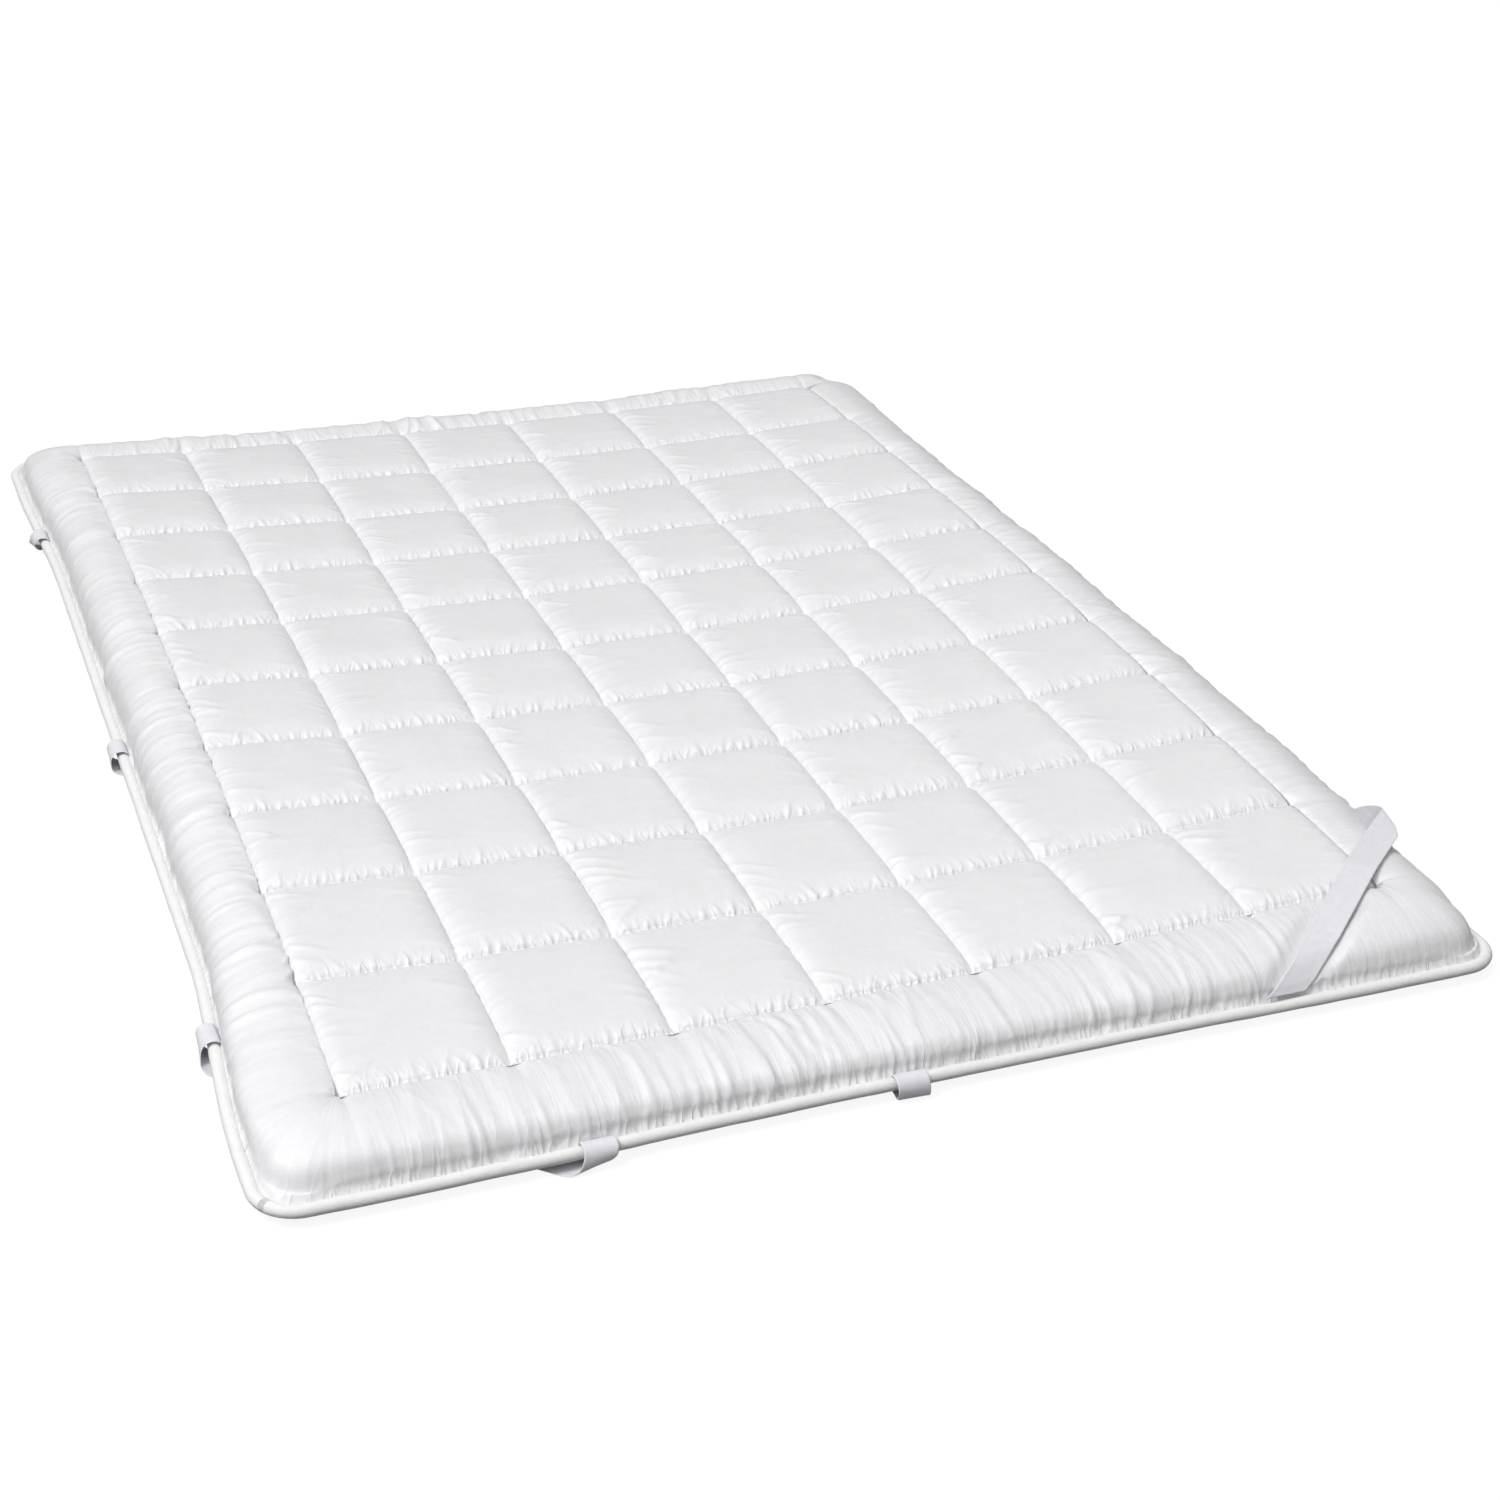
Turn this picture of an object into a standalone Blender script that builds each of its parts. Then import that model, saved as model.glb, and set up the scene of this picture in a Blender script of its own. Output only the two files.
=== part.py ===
"""Quilted mattress topper: one filled pad with sewn channels and a plain puffed border,
a round piping in its edge seam, elastic corner straps and short tape loops.

Metres, +Z up. X runs across the width and Y along the length, with the head end at +Y. The
topper lies on its underside on the plane Z = 0. Three corner straps lie beneath it and the
fourth, at +X -Y, is turned up over the corner.
"""

import math

import bmesh
import bpy
from mathutils import Vector
from mathutils.bvhtree import BVHTree

# Quilting: a frame of stitching round COLUMNS by ROWS square cells.
COLUMNS = 7
ROWS = 10
CELL = 0.172
FRAME_HALF_X = COLUMNS * CELL / 2
FRAME_HALF_Y = ROWS * CELL / 2

# How far each stitched line strays from its even place, in millimetres: all of it, its lean
# (more at one end than at the other) and its bow (more at both ends than in the middle).
#   shift  lean  bow       column lines, from the left side to the right
COLUMN_LINES = (
    (2, 8, -3),
    (-5, -3, -2),
    (-7, -2, 3),
    (-9, -1, 6),
    (-7, -1, 6),
    (-4, 3, 7),
    (-2, 9, 5),
    (1, 10, -2),
)
#   shift  lean  bow       row lines, from the foot end to the head
ROW_LINES = (
    (-10, 5, -9),
    (2, 0, 0),
    (9, -1, 1),
    (8, 1, 4),
    (6, 1, 1),
    (5, 1, 1),
    (7, 3, -5),
    (0, -2, 1),
    (-5, 0, 5),
    (-10, -5, 5),
    (1, -2, -6),
)

# The outline that the piping follows: half sizes at the middle of each side, the corners.
HALF_WIDTH = 0.683
HALF_LENGTH = 0.986
CORNER_RADIUS = 0.045
LEFT_LEAN = 0.010  # the left side runs out by this for each metre towards the foot
FLARE_FROM = 0.80  # of the half side: beyond this share a side spreads towards its corner
FLARE_START = 0.52

# How far each side spreads at its corners, because the quilting draws the middle in.
#          corner (x, y)   spread in x   spread in y
CORNER_FLARE = {
    (-1, -1): (0.021, 0.007),
    (1, -1): (0.007, 0.006),
    (-1, 1): (0.014, 0.008),
    (1, 1): (0.013, 0.006),
}

# Heights of the stitched lines over the resting plane.
SEAM_HEIGHT = 0.0595
SIDE_RISE = 0.0197
END_DROP = 0.0105
CORNER_DROP = 0.0065
TWIST = 0.0031
CELL_PUFF = 0.016
CELL_EDGE = 0.16  # share of a cell taken by its sloping side
UNDER_CHANNEL = 0.012
UNDER_LIFT = 0.003  # room for the straps that run beneath the corners

# Piping in the edge seam, and the gap that touching pieces keep.
PIPING_RADIUS = 0.0070
PIPING_HEIGHT = 0.017
RIM_INSET = 0.0086
RIM_HALF = 0.0015
GAP = 0.0003

# Rings of the border from the frame stitching (out 0) to the shoulder (out 1): the share of
# the way out, the top's height share between shoulder and seam, the puff over that on the
# sides and foot and on the flatter head end, the underside.
#        out    height   puff    at head   underside
BORDER_RINGS = (
    (0.13, 1.00, 0.0080, 0.0090, 0.004),
    (0.38, 0.97, 0.0110, 0.0120, 0.003),
    (0.68, 0.84, 0.0080, 0.0014, 0.003),
    (0.91, 0.46, 0.0050, -0.0017, 0.004),
    (1.00, 0.00, 0.0000, 0.0000, 0.007),
)
TUCK_INSET = 0.0095
TUCK_TOP = 0.028
TUCK_UNDER = 0.011

# The shoulder is the border's outermost cloth: its distance inside the piping's centre line
# (negative hangs over it) and its height, on each side.
#        side     inset    height
SHOULDER = {
    "left": (0.010, 0.046),
    "right": (-0.004, 0.052),
    "foot": (0.012, 0.038),
    "head": (0.014, 0.029),
}

# A filled corner tapers to the piping: the shoulder moves in and down towards the diagonal,
# and less far down at the head end, whose border is low all along.
CORNER_INSET = 0.013
CORNER_FALL = 0.0125
HEAD_CORNER_FALL = 0.0020
# Beside the strap that is turned up, the right side is pulled in and down before its corner.
PULLED_FROM = 0.50
PULLED_IN = 0.010
PULLED_DOWN = 0.010

# Elastic tape.
TAPE_WIDTH = 0.033
TAPE_THICKNESS = 0.0012
TAPE_FLOOR = GAP + TAPE_THICKNESS / 2
STRAP_CLEARANCE = 0.002

# The tape's way round the piping, from its root in the seam to the resting plane:
# out from the piping's centre line, height.
#        out      height
TAPE_WRAP = (
    (-0.0060, 0.0238),
    (-0.0025, 0.0262),
    (0.0030, 0.0275),
    (0.0095, 0.0255),
    (0.0135, 0.0195),
    (0.0140, 0.0120),
    (0.0110, 0.0050),
    (0.0045, 0.0012),
    (-0.0040, TAPE_FLOOR),
)

# Where the tapes leave the edge: corner straps at this distance along X and along Y from the
# centre, tape loops at the middle of each side, shifted a little as sewn.
STRAP_X = 0.390
STRAP_Y = 0.685
#        loop name      side     along
TAPE_LOOPS = {
    "loop_left": ("left", -0.020),
    "loop_right": ("right", 0.020),
    "loop_foot": ("foot", -0.042),
    "loop_head": ("head", 0.042),
}
LOOP_TAIL = (-0.014, -0.026, -0.038)

# The strap turned up over the corner at +X -Y. It comes out of the side seam, goes up the
# border's face to a fold and runs over the top to its root in the foot seam. The cross
# direction is in tape widths: where the tape crosses an edge askew, more of it lies on it.
#    x        y        z       cross x  cross y
TURNED_RETURN = (
    (0.6805, -0.690, 0.0262, 0.00, 1.50),
    (0.6930, -0.698, 0.0400, 0.00, 1.50),
    (0.6948, -0.716, 0.0550, 0.06, 1.50),
    (0.6920, -0.738, 0.0680, 0.15, 1.49),
    (0.6870, -0.757, 0.0765, 0.27, 1.45),
)
TURNED_FOLD_HEIGHT = 0.0790
TURNED_ROOT_HEIGHT = 0.0285
#    x        y      cross x  cross y
TURNED_TOP = (
    (0.6840, -0.7650, 0.33, 1.41),
    (0.6560, -0.7905, -0.67, 0.74),
    (0.5750, -0.8590, -0.67, 0.74),
    (0.4750, -0.9460, -0.67, 0.74),
    (0.4250, -0.9780, -1.00, 0.45),
    (0.4030, -0.9860, -1.25, 0.00),
)

# The layout above is measured from the middle of the quilting. The part's origin is under
# the middle of its bounding box, which the uneven corners move by this much.
LAYOUT_X = 0.0090
LAYOUT_Y = -0.0003


def smooth(low, high, value):
    """0 below low, 1 above high, and a smooth step between."""
    t = min(1.0, max(0.0, (value - low) / (high - low)))
    return t * t * (3 - 2 * t)


def side_x(sign, y):
    """X of the piping's centre line on the left (-1) or right (+1) side."""
    flare = CORNER_FLARE[(sign, 1 if y > 0 else -1)][0]
    out = HALF_WIDTH + flare * smooth(FLARE_START, FLARE_FROM + 0.1, abs(y))
    if sign < 0:
        out -= LEFT_LEAN * y
    return sign * out


def end_y(sign, x):
    """Y of the piping's centre line at the foot (-1) or head (+1) end."""
    flare = CORNER_FLARE[(1 if x > 0 else -1, sign)][1]
    return sign * (HALF_LENGTH + flare * smooth(0.15, 0.55, abs(x)))


def rounded(x, y, inset):
    """Rounds the outline's corners: the corner square goes to a quarter disc."""
    sx, sy = (1 if x > 0 else -1), (1 if y > 0 else -1)
    centre_x = abs(side_x(sx, y)) - CORNER_RADIUS
    centre_y = abs(end_y(sy, x)) - CORNER_RADIUS
    radius = CORNER_RADIUS - inset
    p, q = (abs(x) - centre_x) / radius, (abs(y) - centre_y) / radius
    if p <= 0 or q <= 0:
        return x, y
    p, q = p * math.sqrt(1 - min(q, 1.1) ** 2 / 2), q * math.sqrt(1 - min(p, 1.1) ** 2 / 2)
    return sx * (centre_x + radius * p), sy * (centre_y + radius * q)


def seam_height(x, y):
    """Height of the stitched lines: higher along the sides, lower at the ends."""
    u = max(-1.0, min(1.0, x / FRAME_HALF_X))
    v = max(-1.0, min(1.0, y / FRAME_HALF_Y))
    bowl = SIDE_RISE * u * u - END_DROP * v * v - CORNER_DROP * u * u * v * v
    return SEAM_HEIGHT + bowl - TWIST * u * v


def line_place(lines, position, across):
    """Where a position counted in cells lies, at a share of the half size along its line."""
    before = min(int(position), len(lines) - 2)
    share = position - before
    place = (position - (len(lines) - 1) / 2) * CELL
    for line, weight in ((before, 1 - share), (before + 1, share)):
        shift, lean, bow = lines[line]
        place += weight * (shift + lean * across + bow * across**2) / 1000
    return place


def grid_lines(cells):
    """One axis of the quilting grid: (kind, place) of each line from end to end.

    Kinds are ("cell", position in cells, on a stitch line) and ("ring", sign, ring number).
    """
    lines = [("ring", -1, ring) for ring in range(len(BORDER_RINGS) + 1, -1, -1)]
    for cell in range(cells):
        lines.append(("cell", cell, True))
        lines.append(("cell", cell + CELL_EDGE, False))
        lines.append(("cell", cell + 1 - CELL_EDGE, False))
    lines.append(("cell", cells, True))
    lines += [("ring", 1, ring) for ring in range(len(BORDER_RINGS) + 2)]
    return lines


def ring_offset(ring, reach, inset):
    """Distance out from the frame stitching of a border ring, for one side's reach."""
    if ring < 0:
        return 0.0
    if ring < len(BORDER_RINGS):
        return BORDER_RINGS[ring][0] * (reach - inset)
    return reach - (TUCK_INSET if ring == len(BORDER_RINGS) else RIM_INSET)


def side_names(sx, sy):
    return ("left" if sx < 0 else "right"), ("foot" if sy < 0 else "head")


def cell_heights(column, row, seam):
    """Top and underside inside the quilting: low on a stitched line, full between them."""
    if column[2] or row[2]:
        return seam, UNDER_CHANNEL
    in_corner = abs(column[1] - COLUMNS / 2) > COLUMNS / 2 - 1
    in_corner = in_corner and abs(row[1] - ROWS / 2) > ROWS / 2 - 1
    return seam + CELL_PUFF, UNDER_LIFT if in_corner else 0.0


def pad_point(column, row):
    """The top and underside points of the pad at one crossing of the grid lines."""
    on_x, on_y = column[0] == "cell", row[0] == "cell"
    position_x = column[1] if on_x else (COLUMNS if column[1] > 0 else 0)
    position_y = row[1] if on_y else (ROWS if row[1] > 0 else 0)
    u, v = 2 * position_x / COLUMNS - 1, 2 * position_y / ROWS - 1
    x, y = line_place(COLUMN_LINES, position_x, v), line_place(ROW_LINES, position_y, u)
    seam = seam_height(x, y)
    if on_x and on_y:
        top, under = cell_heights(column, row, seam)
        return (x, y, top), (x, y, under)

    # In the border: move out from the frame, then round the corners.
    sx, sy = (1 if u > 0 else -1), (1 if v > 0 else -1)
    name_x, name_y = side_names(sx, sy)
    inset_x, height_x = SHOULDER[name_x]
    inset_y, height_y = SHOULDER[name_y]
    if sx > 0 and sy < 0:
        pull = smooth(PULLED_FROM, FRAME_HALF_Y, -y)
        inset_x, height_x = inset_x + PULLED_IN * pull, height_x - PULLED_DOWN * pull
    ring_x = column[2] if not on_x else -1
    ring_y = row[2] if not on_y else -1
    end_share = (ring_y + 1) / (ring_x + ring_y + 2)
    diagonal = (4 * end_share * (1 - end_share)) ** 2
    inset_x += diagonal * (CORNER_INSET - inset_x)
    inset_y += diagonal * (CORNER_INSET - inset_y)
    out_x = ring_offset(ring_x, abs(side_x(sx, y)) - abs(x), inset_x)
    out_y = ring_offset(ring_y, abs(end_y(sy, x)) - abs(y), inset_y)
    x, y = x + sx * out_x, y + sy * out_y
    ring = max(ring_x, ring_y)
    if not on_x and not on_y:
        inset = min(inset_x, inset_y) if ring < len(BORDER_RINGS) else RIM_INSET
        x, y = rounded(x, y, max(0.0, inset))
    if ring == len(BORDER_RINGS):
        return (x, y, TUCK_TOP), (x, y, TUCK_UNDER)
    if ring > len(BORDER_RINGS):
        return (x, y, PIPING_HEIGHT + RIM_HALF), (x, y, PIPING_HEIGHT - RIM_HALF)
    fall = diagonal * (HEAD_CORNER_FALL if sy > 0 else CORNER_FALL)
    shoulder = (1 - end_share) * height_x + end_share * height_y - fall
    _, share, puff, head_puff, under = BORDER_RINGS[ring]
    if sy > 0:
        puff += end_share * (head_puff - puff)
    return (x, y, shoulder + share * (seam - shoulder) + puff), (x, y, under)


def material(name, colour, roughness):
    made = bpy.data.materials.new(name)
    made.use_nodes = True
    shader = made.node_tree.nodes["Principled BSDF"]
    shader.inputs["Base Color"].default_value = (*colour, 1.0)
    shader.inputs["Roughness"].default_value = roughness
    return made


def add_object(name, data, collection, finish):
    made = bpy.data.objects.new(name, data)
    data.materials.append(finish)
    collection.objects.link(made)
    return made


def make_pad(collection, finish):
    """The filled pad: a flat grid extruded to two sheets, each shaped over its grid lines."""
    columns, rows = grid_lines(COLUMNS), grid_lines(ROWS)
    across, along = len(columns) - 1, len(rows) - 1
    mesh = bmesh.new()
    bmesh.ops.create_grid(mesh, x_segments=across, y_segments=along, size=1.0)
    sheet = [(v, round((v.co.x + 1) * across / 2), round((v.co.y + 1) * along / 2)) for v in mesh.verts]
    top = {}
    for vertex, i, j in sheet:
        top[(i, j)] = vertex
    extruded = bmesh.ops.extrude_face_region(mesh, geom=mesh.faces[:], use_keep_orig=True)
    lower = [item for item in extruded["geom"] if isinstance(item, bmesh.types.BMVert)]
    for vertex in lower:
        i = round((vertex.co.x + 1) * across / 2)
        j = round((vertex.co.y + 1) * along / 2)
        vertex.co = pad_point(columns[i], rows[j])[1]
    for (i, j), vertex in top.items():
        vertex.co = pad_point(columns[i], rows[j])[0]
    bmesh.ops.recalc_face_normals(mesh, faces=mesh.faces)
    data = bpy.data.meshes.new("pad")
    mesh.to_mesh(data)
    above = BVHTree.FromBMesh(mesh)
    mesh.free()
    data.shade_smooth()
    return add_object("pad", data, collection, finish), above


def piping_route():
    """Points of the piping's centre line, once round the outline."""
    steps_side, steps_end, steps_arc = 26, 18, 10
    points = []
    for sx, sy in ((1, -1), (1, 1), (-1, 1), (-1, -1)):
        centre_x = sx * (abs(side_x(sx, sy)) - CORNER_RADIUS)
        centre_y = sy * (abs(end_y(sy, sx)) - CORNER_RADIUS)
        start = {(1, -1): -90, (1, 1): 0, (-1, 1): 90, (-1, -1): 180}[(sx, sy)]
        for k in range(steps_arc + 1):
            angle = math.radians(start + 90 * k / steps_arc)
            points.append((
                centre_x + CORNER_RADIUS * math.cos(angle),
                centre_y + CORNER_RADIUS * math.sin(angle),
            ))
        if sx == 1 and sy == -1 or sx == -1 and sy == 1:
            low, high = (-1, 1) if sx == 1 else (1, -1)
            low_y = end_y(low, sx) - low * CORNER_RADIUS
            high_y = end_y(high, sx) - high * CORNER_RADIUS
            for k in range(1, steps_side):
                y = low_y + (high_y - low_y) * k / steps_side
                points.append((side_x(sx, y), y))
        else:
            low_x = side_x(sx, sy) - sx * CORNER_RADIUS
            high_x = side_x(-sx, sy) + sx * CORNER_RADIUS
            for k in range(1, steps_end):
                x = low_x + (high_x - low_x) * k / steps_end
                points.append((x, end_y(sy, x)))
    return points


def make_piping(collection, finish):
    route = piping_route()
    curve = bpy.data.curves.new("piping", "CURVE")
    curve.dimensions = "3D"
    curve.bevel_depth = PIPING_RADIUS
    curve.bevel_resolution = 2
    spline = curve.splines.new("POLY")
    spline.points.add(len(route) - 1)
    for point, (x, y) in zip(spline.points, route):
        point.co = (x, y, PIPING_HEIGHT, 1.0)
    spline.use_cyclic_u = True
    return add_object("piping", curve, collection, finish)


def make_strip(name, stations, collection, finish):
    """A flat tape: an open ribbon over (centre, cross direction) stations, given its thickness."""
    mesh = bmesh.new()
    bmesh.ops.create_grid(mesh, x_segments=1, y_segments=len(stations) - 1, size=1.0)
    mesh.verts.ensure_lookup_table()
    for vertex in mesh.verts:
        centre, cross = stations[round((vertex.co.y + 1) * (len(stations) - 1) / 2)]
        half = Vector(cross) * TAPE_WIDTH / 2
        vertex.co = Vector(centre) + (half if vertex.co.x > 0 else -half)
    data = bpy.data.meshes.new(name)
    mesh.to_mesh(data)
    mesh.free()
    made = add_object(name, data, collection, finish)
    solid = made.modifiers.new("thickness", "SOLIDIFY")
    solid.thickness = TAPE_THICKNESS
    solid.offset = 0.0
    solid.use_even_offset = True
    return made


def edge_frame(side, along):
    """The piping's centre at a place on one side, the outward and the lengthwise direction."""
    if side in ("left", "right"):
        sign = -1 if side == "left" else 1
        return Vector((side_x(sign, along), along, 0)), Vector((sign, 0, 0)), Vector((0, 1, 0))
    sign = -1 if side == "foot" else 1
    return Vector((along, end_y(sign, along), 0)), Vector((0, sign, 0)), Vector((1, 0, 0))


def wrap_stations(side, along):
    """The tape round the piping, from the seam to the resting plane."""
    centre, out, lengthwise = edge_frame(side, along)
    return [(centre + out * o + Vector((0, 0, z)), lengthwise) for o, z in TAPE_WRAP]


def make_loop(name, side, along, collection, finish):
    centre, out, lengthwise = edge_frame(side, along)
    stations = wrap_stations(side, along)
    stations += [(centre + out * o + Vector((0, 0, TAPE_FLOOR)), lengthwise) for o in LOOP_TAIL]
    return make_strip(name, stations, collection, finish)


def make_corner_strap(name, sx, sy, collection, finish):
    """A strap beneath one corner: round the piping, then straight across to the other side."""
    side_name, end_name = side_names(sx, sy)
    first = wrap_stations(end_name, sx * STRAP_X)
    last = wrap_stations(side_name, sy * STRAP_Y)[::-1]
    start, finish_at = first[-1][0], last[0][0]
    inward = 0.030
    bend_a = start - edge_frame(end_name, sx * STRAP_X)[1] * inward
    bend_b = finish_at - edge_frame(side_name, sy * STRAP_Y)[1] * inward
    run = (bend_b - bend_a).normalized()
    square = Vector((-run.y, run.x, 0))
    cross_a = first[-1][1] * (1 if first[-1][1].dot(square) > 0 else -1)
    cross_b = last[0][1] * (1 if last[0][1].dot(square) > 0 else -1)
    first = [(centre, cross_a) for centre, _ in first]
    last = [(centre, cross_b) for centre, _ in last]
    middle = []
    for share in (0.35, 0.7, 1.0):
        spot = start.lerp(bend_a + run * inward * 0.6, share)
        middle.append((spot, cross_a.lerp(square, share)))
    for share in (0.0, 0.3, 0.65):
        spot = (bend_b - run * inward * 0.6).lerp(finish_at, share)
        middle.append((spot, square.lerp(cross_b, share)))
    return make_strip(name, first + middle + last, collection, finish)


def height_over(above, x, y):
    hit = above.ray_cast(Vector((x, y, 1.0)), Vector((0, 0, -1)))
    return hit[0].z if hit[0] else 0.0


def upper_hull(points):
    """The points that a string pulled tight over (distance, height) points would touch."""
    hull = []
    for point in points:
        while len(hull) > 1:
            (a, low), (b, middle) = hull[-2][:2], hull[-1][:2]
            if (middle - low) * (point[0] - a) > (point[1] - low) * (b - a):
                break
            hull.pop()
        hull.append(point)
    return hull


def make_turned_strap(name, above, collection, finish):
    """The strap turned up over its corner, lying over the pad as a lightly stretched band."""
    stations = [(Vector((x, y, z)), Vector((cx, cy, 0))) for x, y, z, cx, cy in TURNED_RETURN]
    distance, samples = 0.0, []
    for (x0, y0, cx0, cy0), (x1, y1, cx1, cy1) in zip(TURNED_TOP, TURNED_TOP[1:]):
        steps = max(2, round(math.hypot(x1 - x0, y1 - y0) / 0.006))
        for k in range(steps + (x1 == TURNED_TOP[-1][0])):
            share = k / steps
            spot = Vector((x0, y0, 0)).lerp(Vector((x1, y1, 0)), share)
            cross = Vector((cx0, cy0, 0)).lerp(Vector((cx1, cy1, 0)), share)
            beside = [spot + cross * TAPE_WIDTH * s for s in (-0.5, -0.25, 0, 0.25, 0.5)]
            highest = max(height_over(above, p.x, p.y) for p in beside)
            height = highest + STRAP_CLEARANCE + TAPE_THICKNESS / 2
            samples.append((distance + share * math.hypot(x1 - x0, y1 - y0), height, spot, cross))
        distance += math.hypot(x1 - x0, y1 - y0)
    samples[0] = (samples[0][0], max(TURNED_FOLD_HEIGHT, samples[0][1]), *samples[0][2:])
    samples[-1] = (samples[-1][0], TURNED_ROOT_HEIGHT, *samples[-1][2:])
    for _, z, spot, cross in upper_hull(samples):
        stations.append((Vector((spot.x, spot.y, z)), cross))
    return make_strip(name, stations, collection, finish)


def main():
    for old in list(bpy.data.objects):
        bpy.data.objects.remove(old)
    collection = bpy.data.collections.new("mattress_topper")
    bpy.context.scene.collection.children.link(collection)
    cotton = material("white_cotton", (0.90, 0.90, 0.91), 0.55)
    binding = material("piping_cotton", (0.88, 0.87, 0.85), 0.60)
    elastic = material("white_elastic", (0.76, 0.76, 0.84), 0.60)

    _, above = make_pad(collection, cotton)
    make_piping(collection, binding)
    for name, (side, along) in TAPE_LOOPS.items():
        make_loop(name, side, along, collection, elastic)
    make_corner_strap("strap_foot_left", -1, -1, collection, elastic)
    make_corner_strap("strap_head_left", -1, 1, collection, elastic)
    make_corner_strap("strap_head_right", 1, 1, collection, elastic)
    make_turned_strap("strap_foot_right", above, collection, elastic)
    for made in collection.objects:
        made.location = (LAYOUT_X, LAYOUT_Y, 0)


main()
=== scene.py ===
# %% [markdown]
# # A quilted mattress topper
# A topper is a thin, filled quilt that lies on a mattress. Two cloths with filling between them
# are sewn together along straight lines, so the filling bulges into square pillows. Round them
# runs a plain puffed border, its edge seam holds a round piping, and elastic tape is caught in
# the same seam. The solid model is loaded first: it is the frame that every piece here fits.

# %% Load the solid model
import math

import bpy
import numpy as np
from mathutils import Matrix, Vector
from mathutils.bvhtree import BVHTree


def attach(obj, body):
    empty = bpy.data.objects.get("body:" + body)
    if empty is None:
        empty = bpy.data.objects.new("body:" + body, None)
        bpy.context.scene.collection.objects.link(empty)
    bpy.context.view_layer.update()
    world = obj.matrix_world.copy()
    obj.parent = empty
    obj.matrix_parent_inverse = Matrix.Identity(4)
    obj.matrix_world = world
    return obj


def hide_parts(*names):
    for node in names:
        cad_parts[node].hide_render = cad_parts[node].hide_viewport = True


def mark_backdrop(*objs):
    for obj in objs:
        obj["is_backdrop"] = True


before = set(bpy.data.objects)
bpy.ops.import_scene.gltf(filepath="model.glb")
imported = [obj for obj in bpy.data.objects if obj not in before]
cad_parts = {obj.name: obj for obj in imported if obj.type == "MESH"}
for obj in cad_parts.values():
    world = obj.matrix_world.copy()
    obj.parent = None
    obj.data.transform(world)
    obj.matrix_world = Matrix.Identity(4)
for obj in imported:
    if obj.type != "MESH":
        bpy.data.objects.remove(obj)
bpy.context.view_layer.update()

# %% [markdown]
# ## The layout
# The quilting is a grid of stitched lines, seven squares wide and ten long. Sewing by machine
# never keeps such lines quite straight: each one is shifted a little, leans and bows. A table
# gives those three amounts for each line in millimetres, and every later shape is laid out from
# it, which keeps pillows, stitches and border together.

# %% Driving sizes
COLUMNS, ROWS = 7, 10
CELL = 0.172
HALF_X, HALF_Y = COLUMNS * CELL / 2, ROWS * CELL / 2
LAYOUT = np.array([0.0090, -0.0003, 0.0])  # middle of the quilting, from the frame's origin
#   shift  lean  bow       column lines, from the left side to the right
COLUMN_LINES = np.array([
    (2, 8, -3),
    (-5, -3, -2),
    (-7, -2, 3),
    (-9, -1, 6),
    (-7, -1, 6),
    (-4, 3, 7),
    (-2, 9, 5),
    (1, 10, -2),
])
#   shift  lean  bow       row lines, from the foot end to the head
ROW_LINES = np.array([
    (-10, 5, -9),
    (2, 0, 0),
    (9, -1, 1),
    (8, 1, 4),
    (6, 1, 1),
    (5, 1, 1),
    (7, 3, -5),
    (0, -2, 1),
    (-5, 0, 5),
    (-10, -5, 5),
    (1, -2, -6),
])
print("quilting", COLUMNS * CELL, "by", ROWS * CELL, "m")

# %% Curves that shape the whole topper
def smooth(low, high, value):
    """0 below low, 1 above high and an S-shaped step between: t*t*(3 - 2t)."""
    t = np.clip((value - low) / (high - low), 0, 1)
    return t * t * (3 - 2 * t)


def line_place(lines, position, across):
    """Place of a stitched line: its number times the cell, plus shift + lean*a + bow*a*a.

    Between two lines the place is mixed from both. across is -1 to 1 along the line.
    """
    before = np.clip(np.floor(position).astype(int), 0, len(lines) - 2)
    share = position - before
    stray = [lines[k, 0] + lines[k, 1] * across + lines[k, 2] * across**2 for k in (before, before + 1)]
    return (position - (len(lines) - 1) / 2) * CELL + ((1 - share) * stray[0] + share * stray[1]) / 1000


def seam_height(x, y):
    """Height of the stitched lines: a shallow bowl, high along the sides, low at the ends."""
    u, v = np.clip(x / HALF_X, -1, 1), np.clip(y / HALF_Y, -1, 1)
    return 0.0595 + 0.0197 * u**2 - 0.0105 * v**2 - 0.0065 * u**2 * v**2 - 0.0031 * u * v


HALF_WIDTH, HALF_LENGTH = 0.683, 0.986
LEFT_LEAN = 0.010
#          corner (x, y)   spread in x   spread in y
CORNER_FLARE = {
    (-1, -1): (0.021, 0.007),
    (1, -1): (0.007, 0.006),
    (-1, 1): (0.014, 0.008),
    (1, 1): (0.013, 0.006),
}


def flare(sx, sy, axis):
    """The spread of one corner along one axis, for arrays of signs."""
    table = np.array([[CORNER_FLARE[(a, b)][axis] for b in (-1, 1)] for a in (-1, 1)])
    return table[(np.asarray(sx) > 0).astype(int), (np.asarray(sy) > 0).astype(int)]


def side_reach(sx, y):
    """Distance of the piping from the middle line, on the left or right side, at y."""
    out = HALF_WIDTH + flare(sx, np.sign(y), 0) * smooth(0.52, 0.90, np.abs(y))
    return out - np.where(sx < 0, LEFT_LEAN * y, 0)


def end_reach(sy, x):
    """Distance of the piping from the middle line, at the foot or head end, at x."""
    return HALF_LENGTH + flare(np.sign(x), sy, 1) * smooth(0.15, 0.55, np.abs(x))


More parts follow.
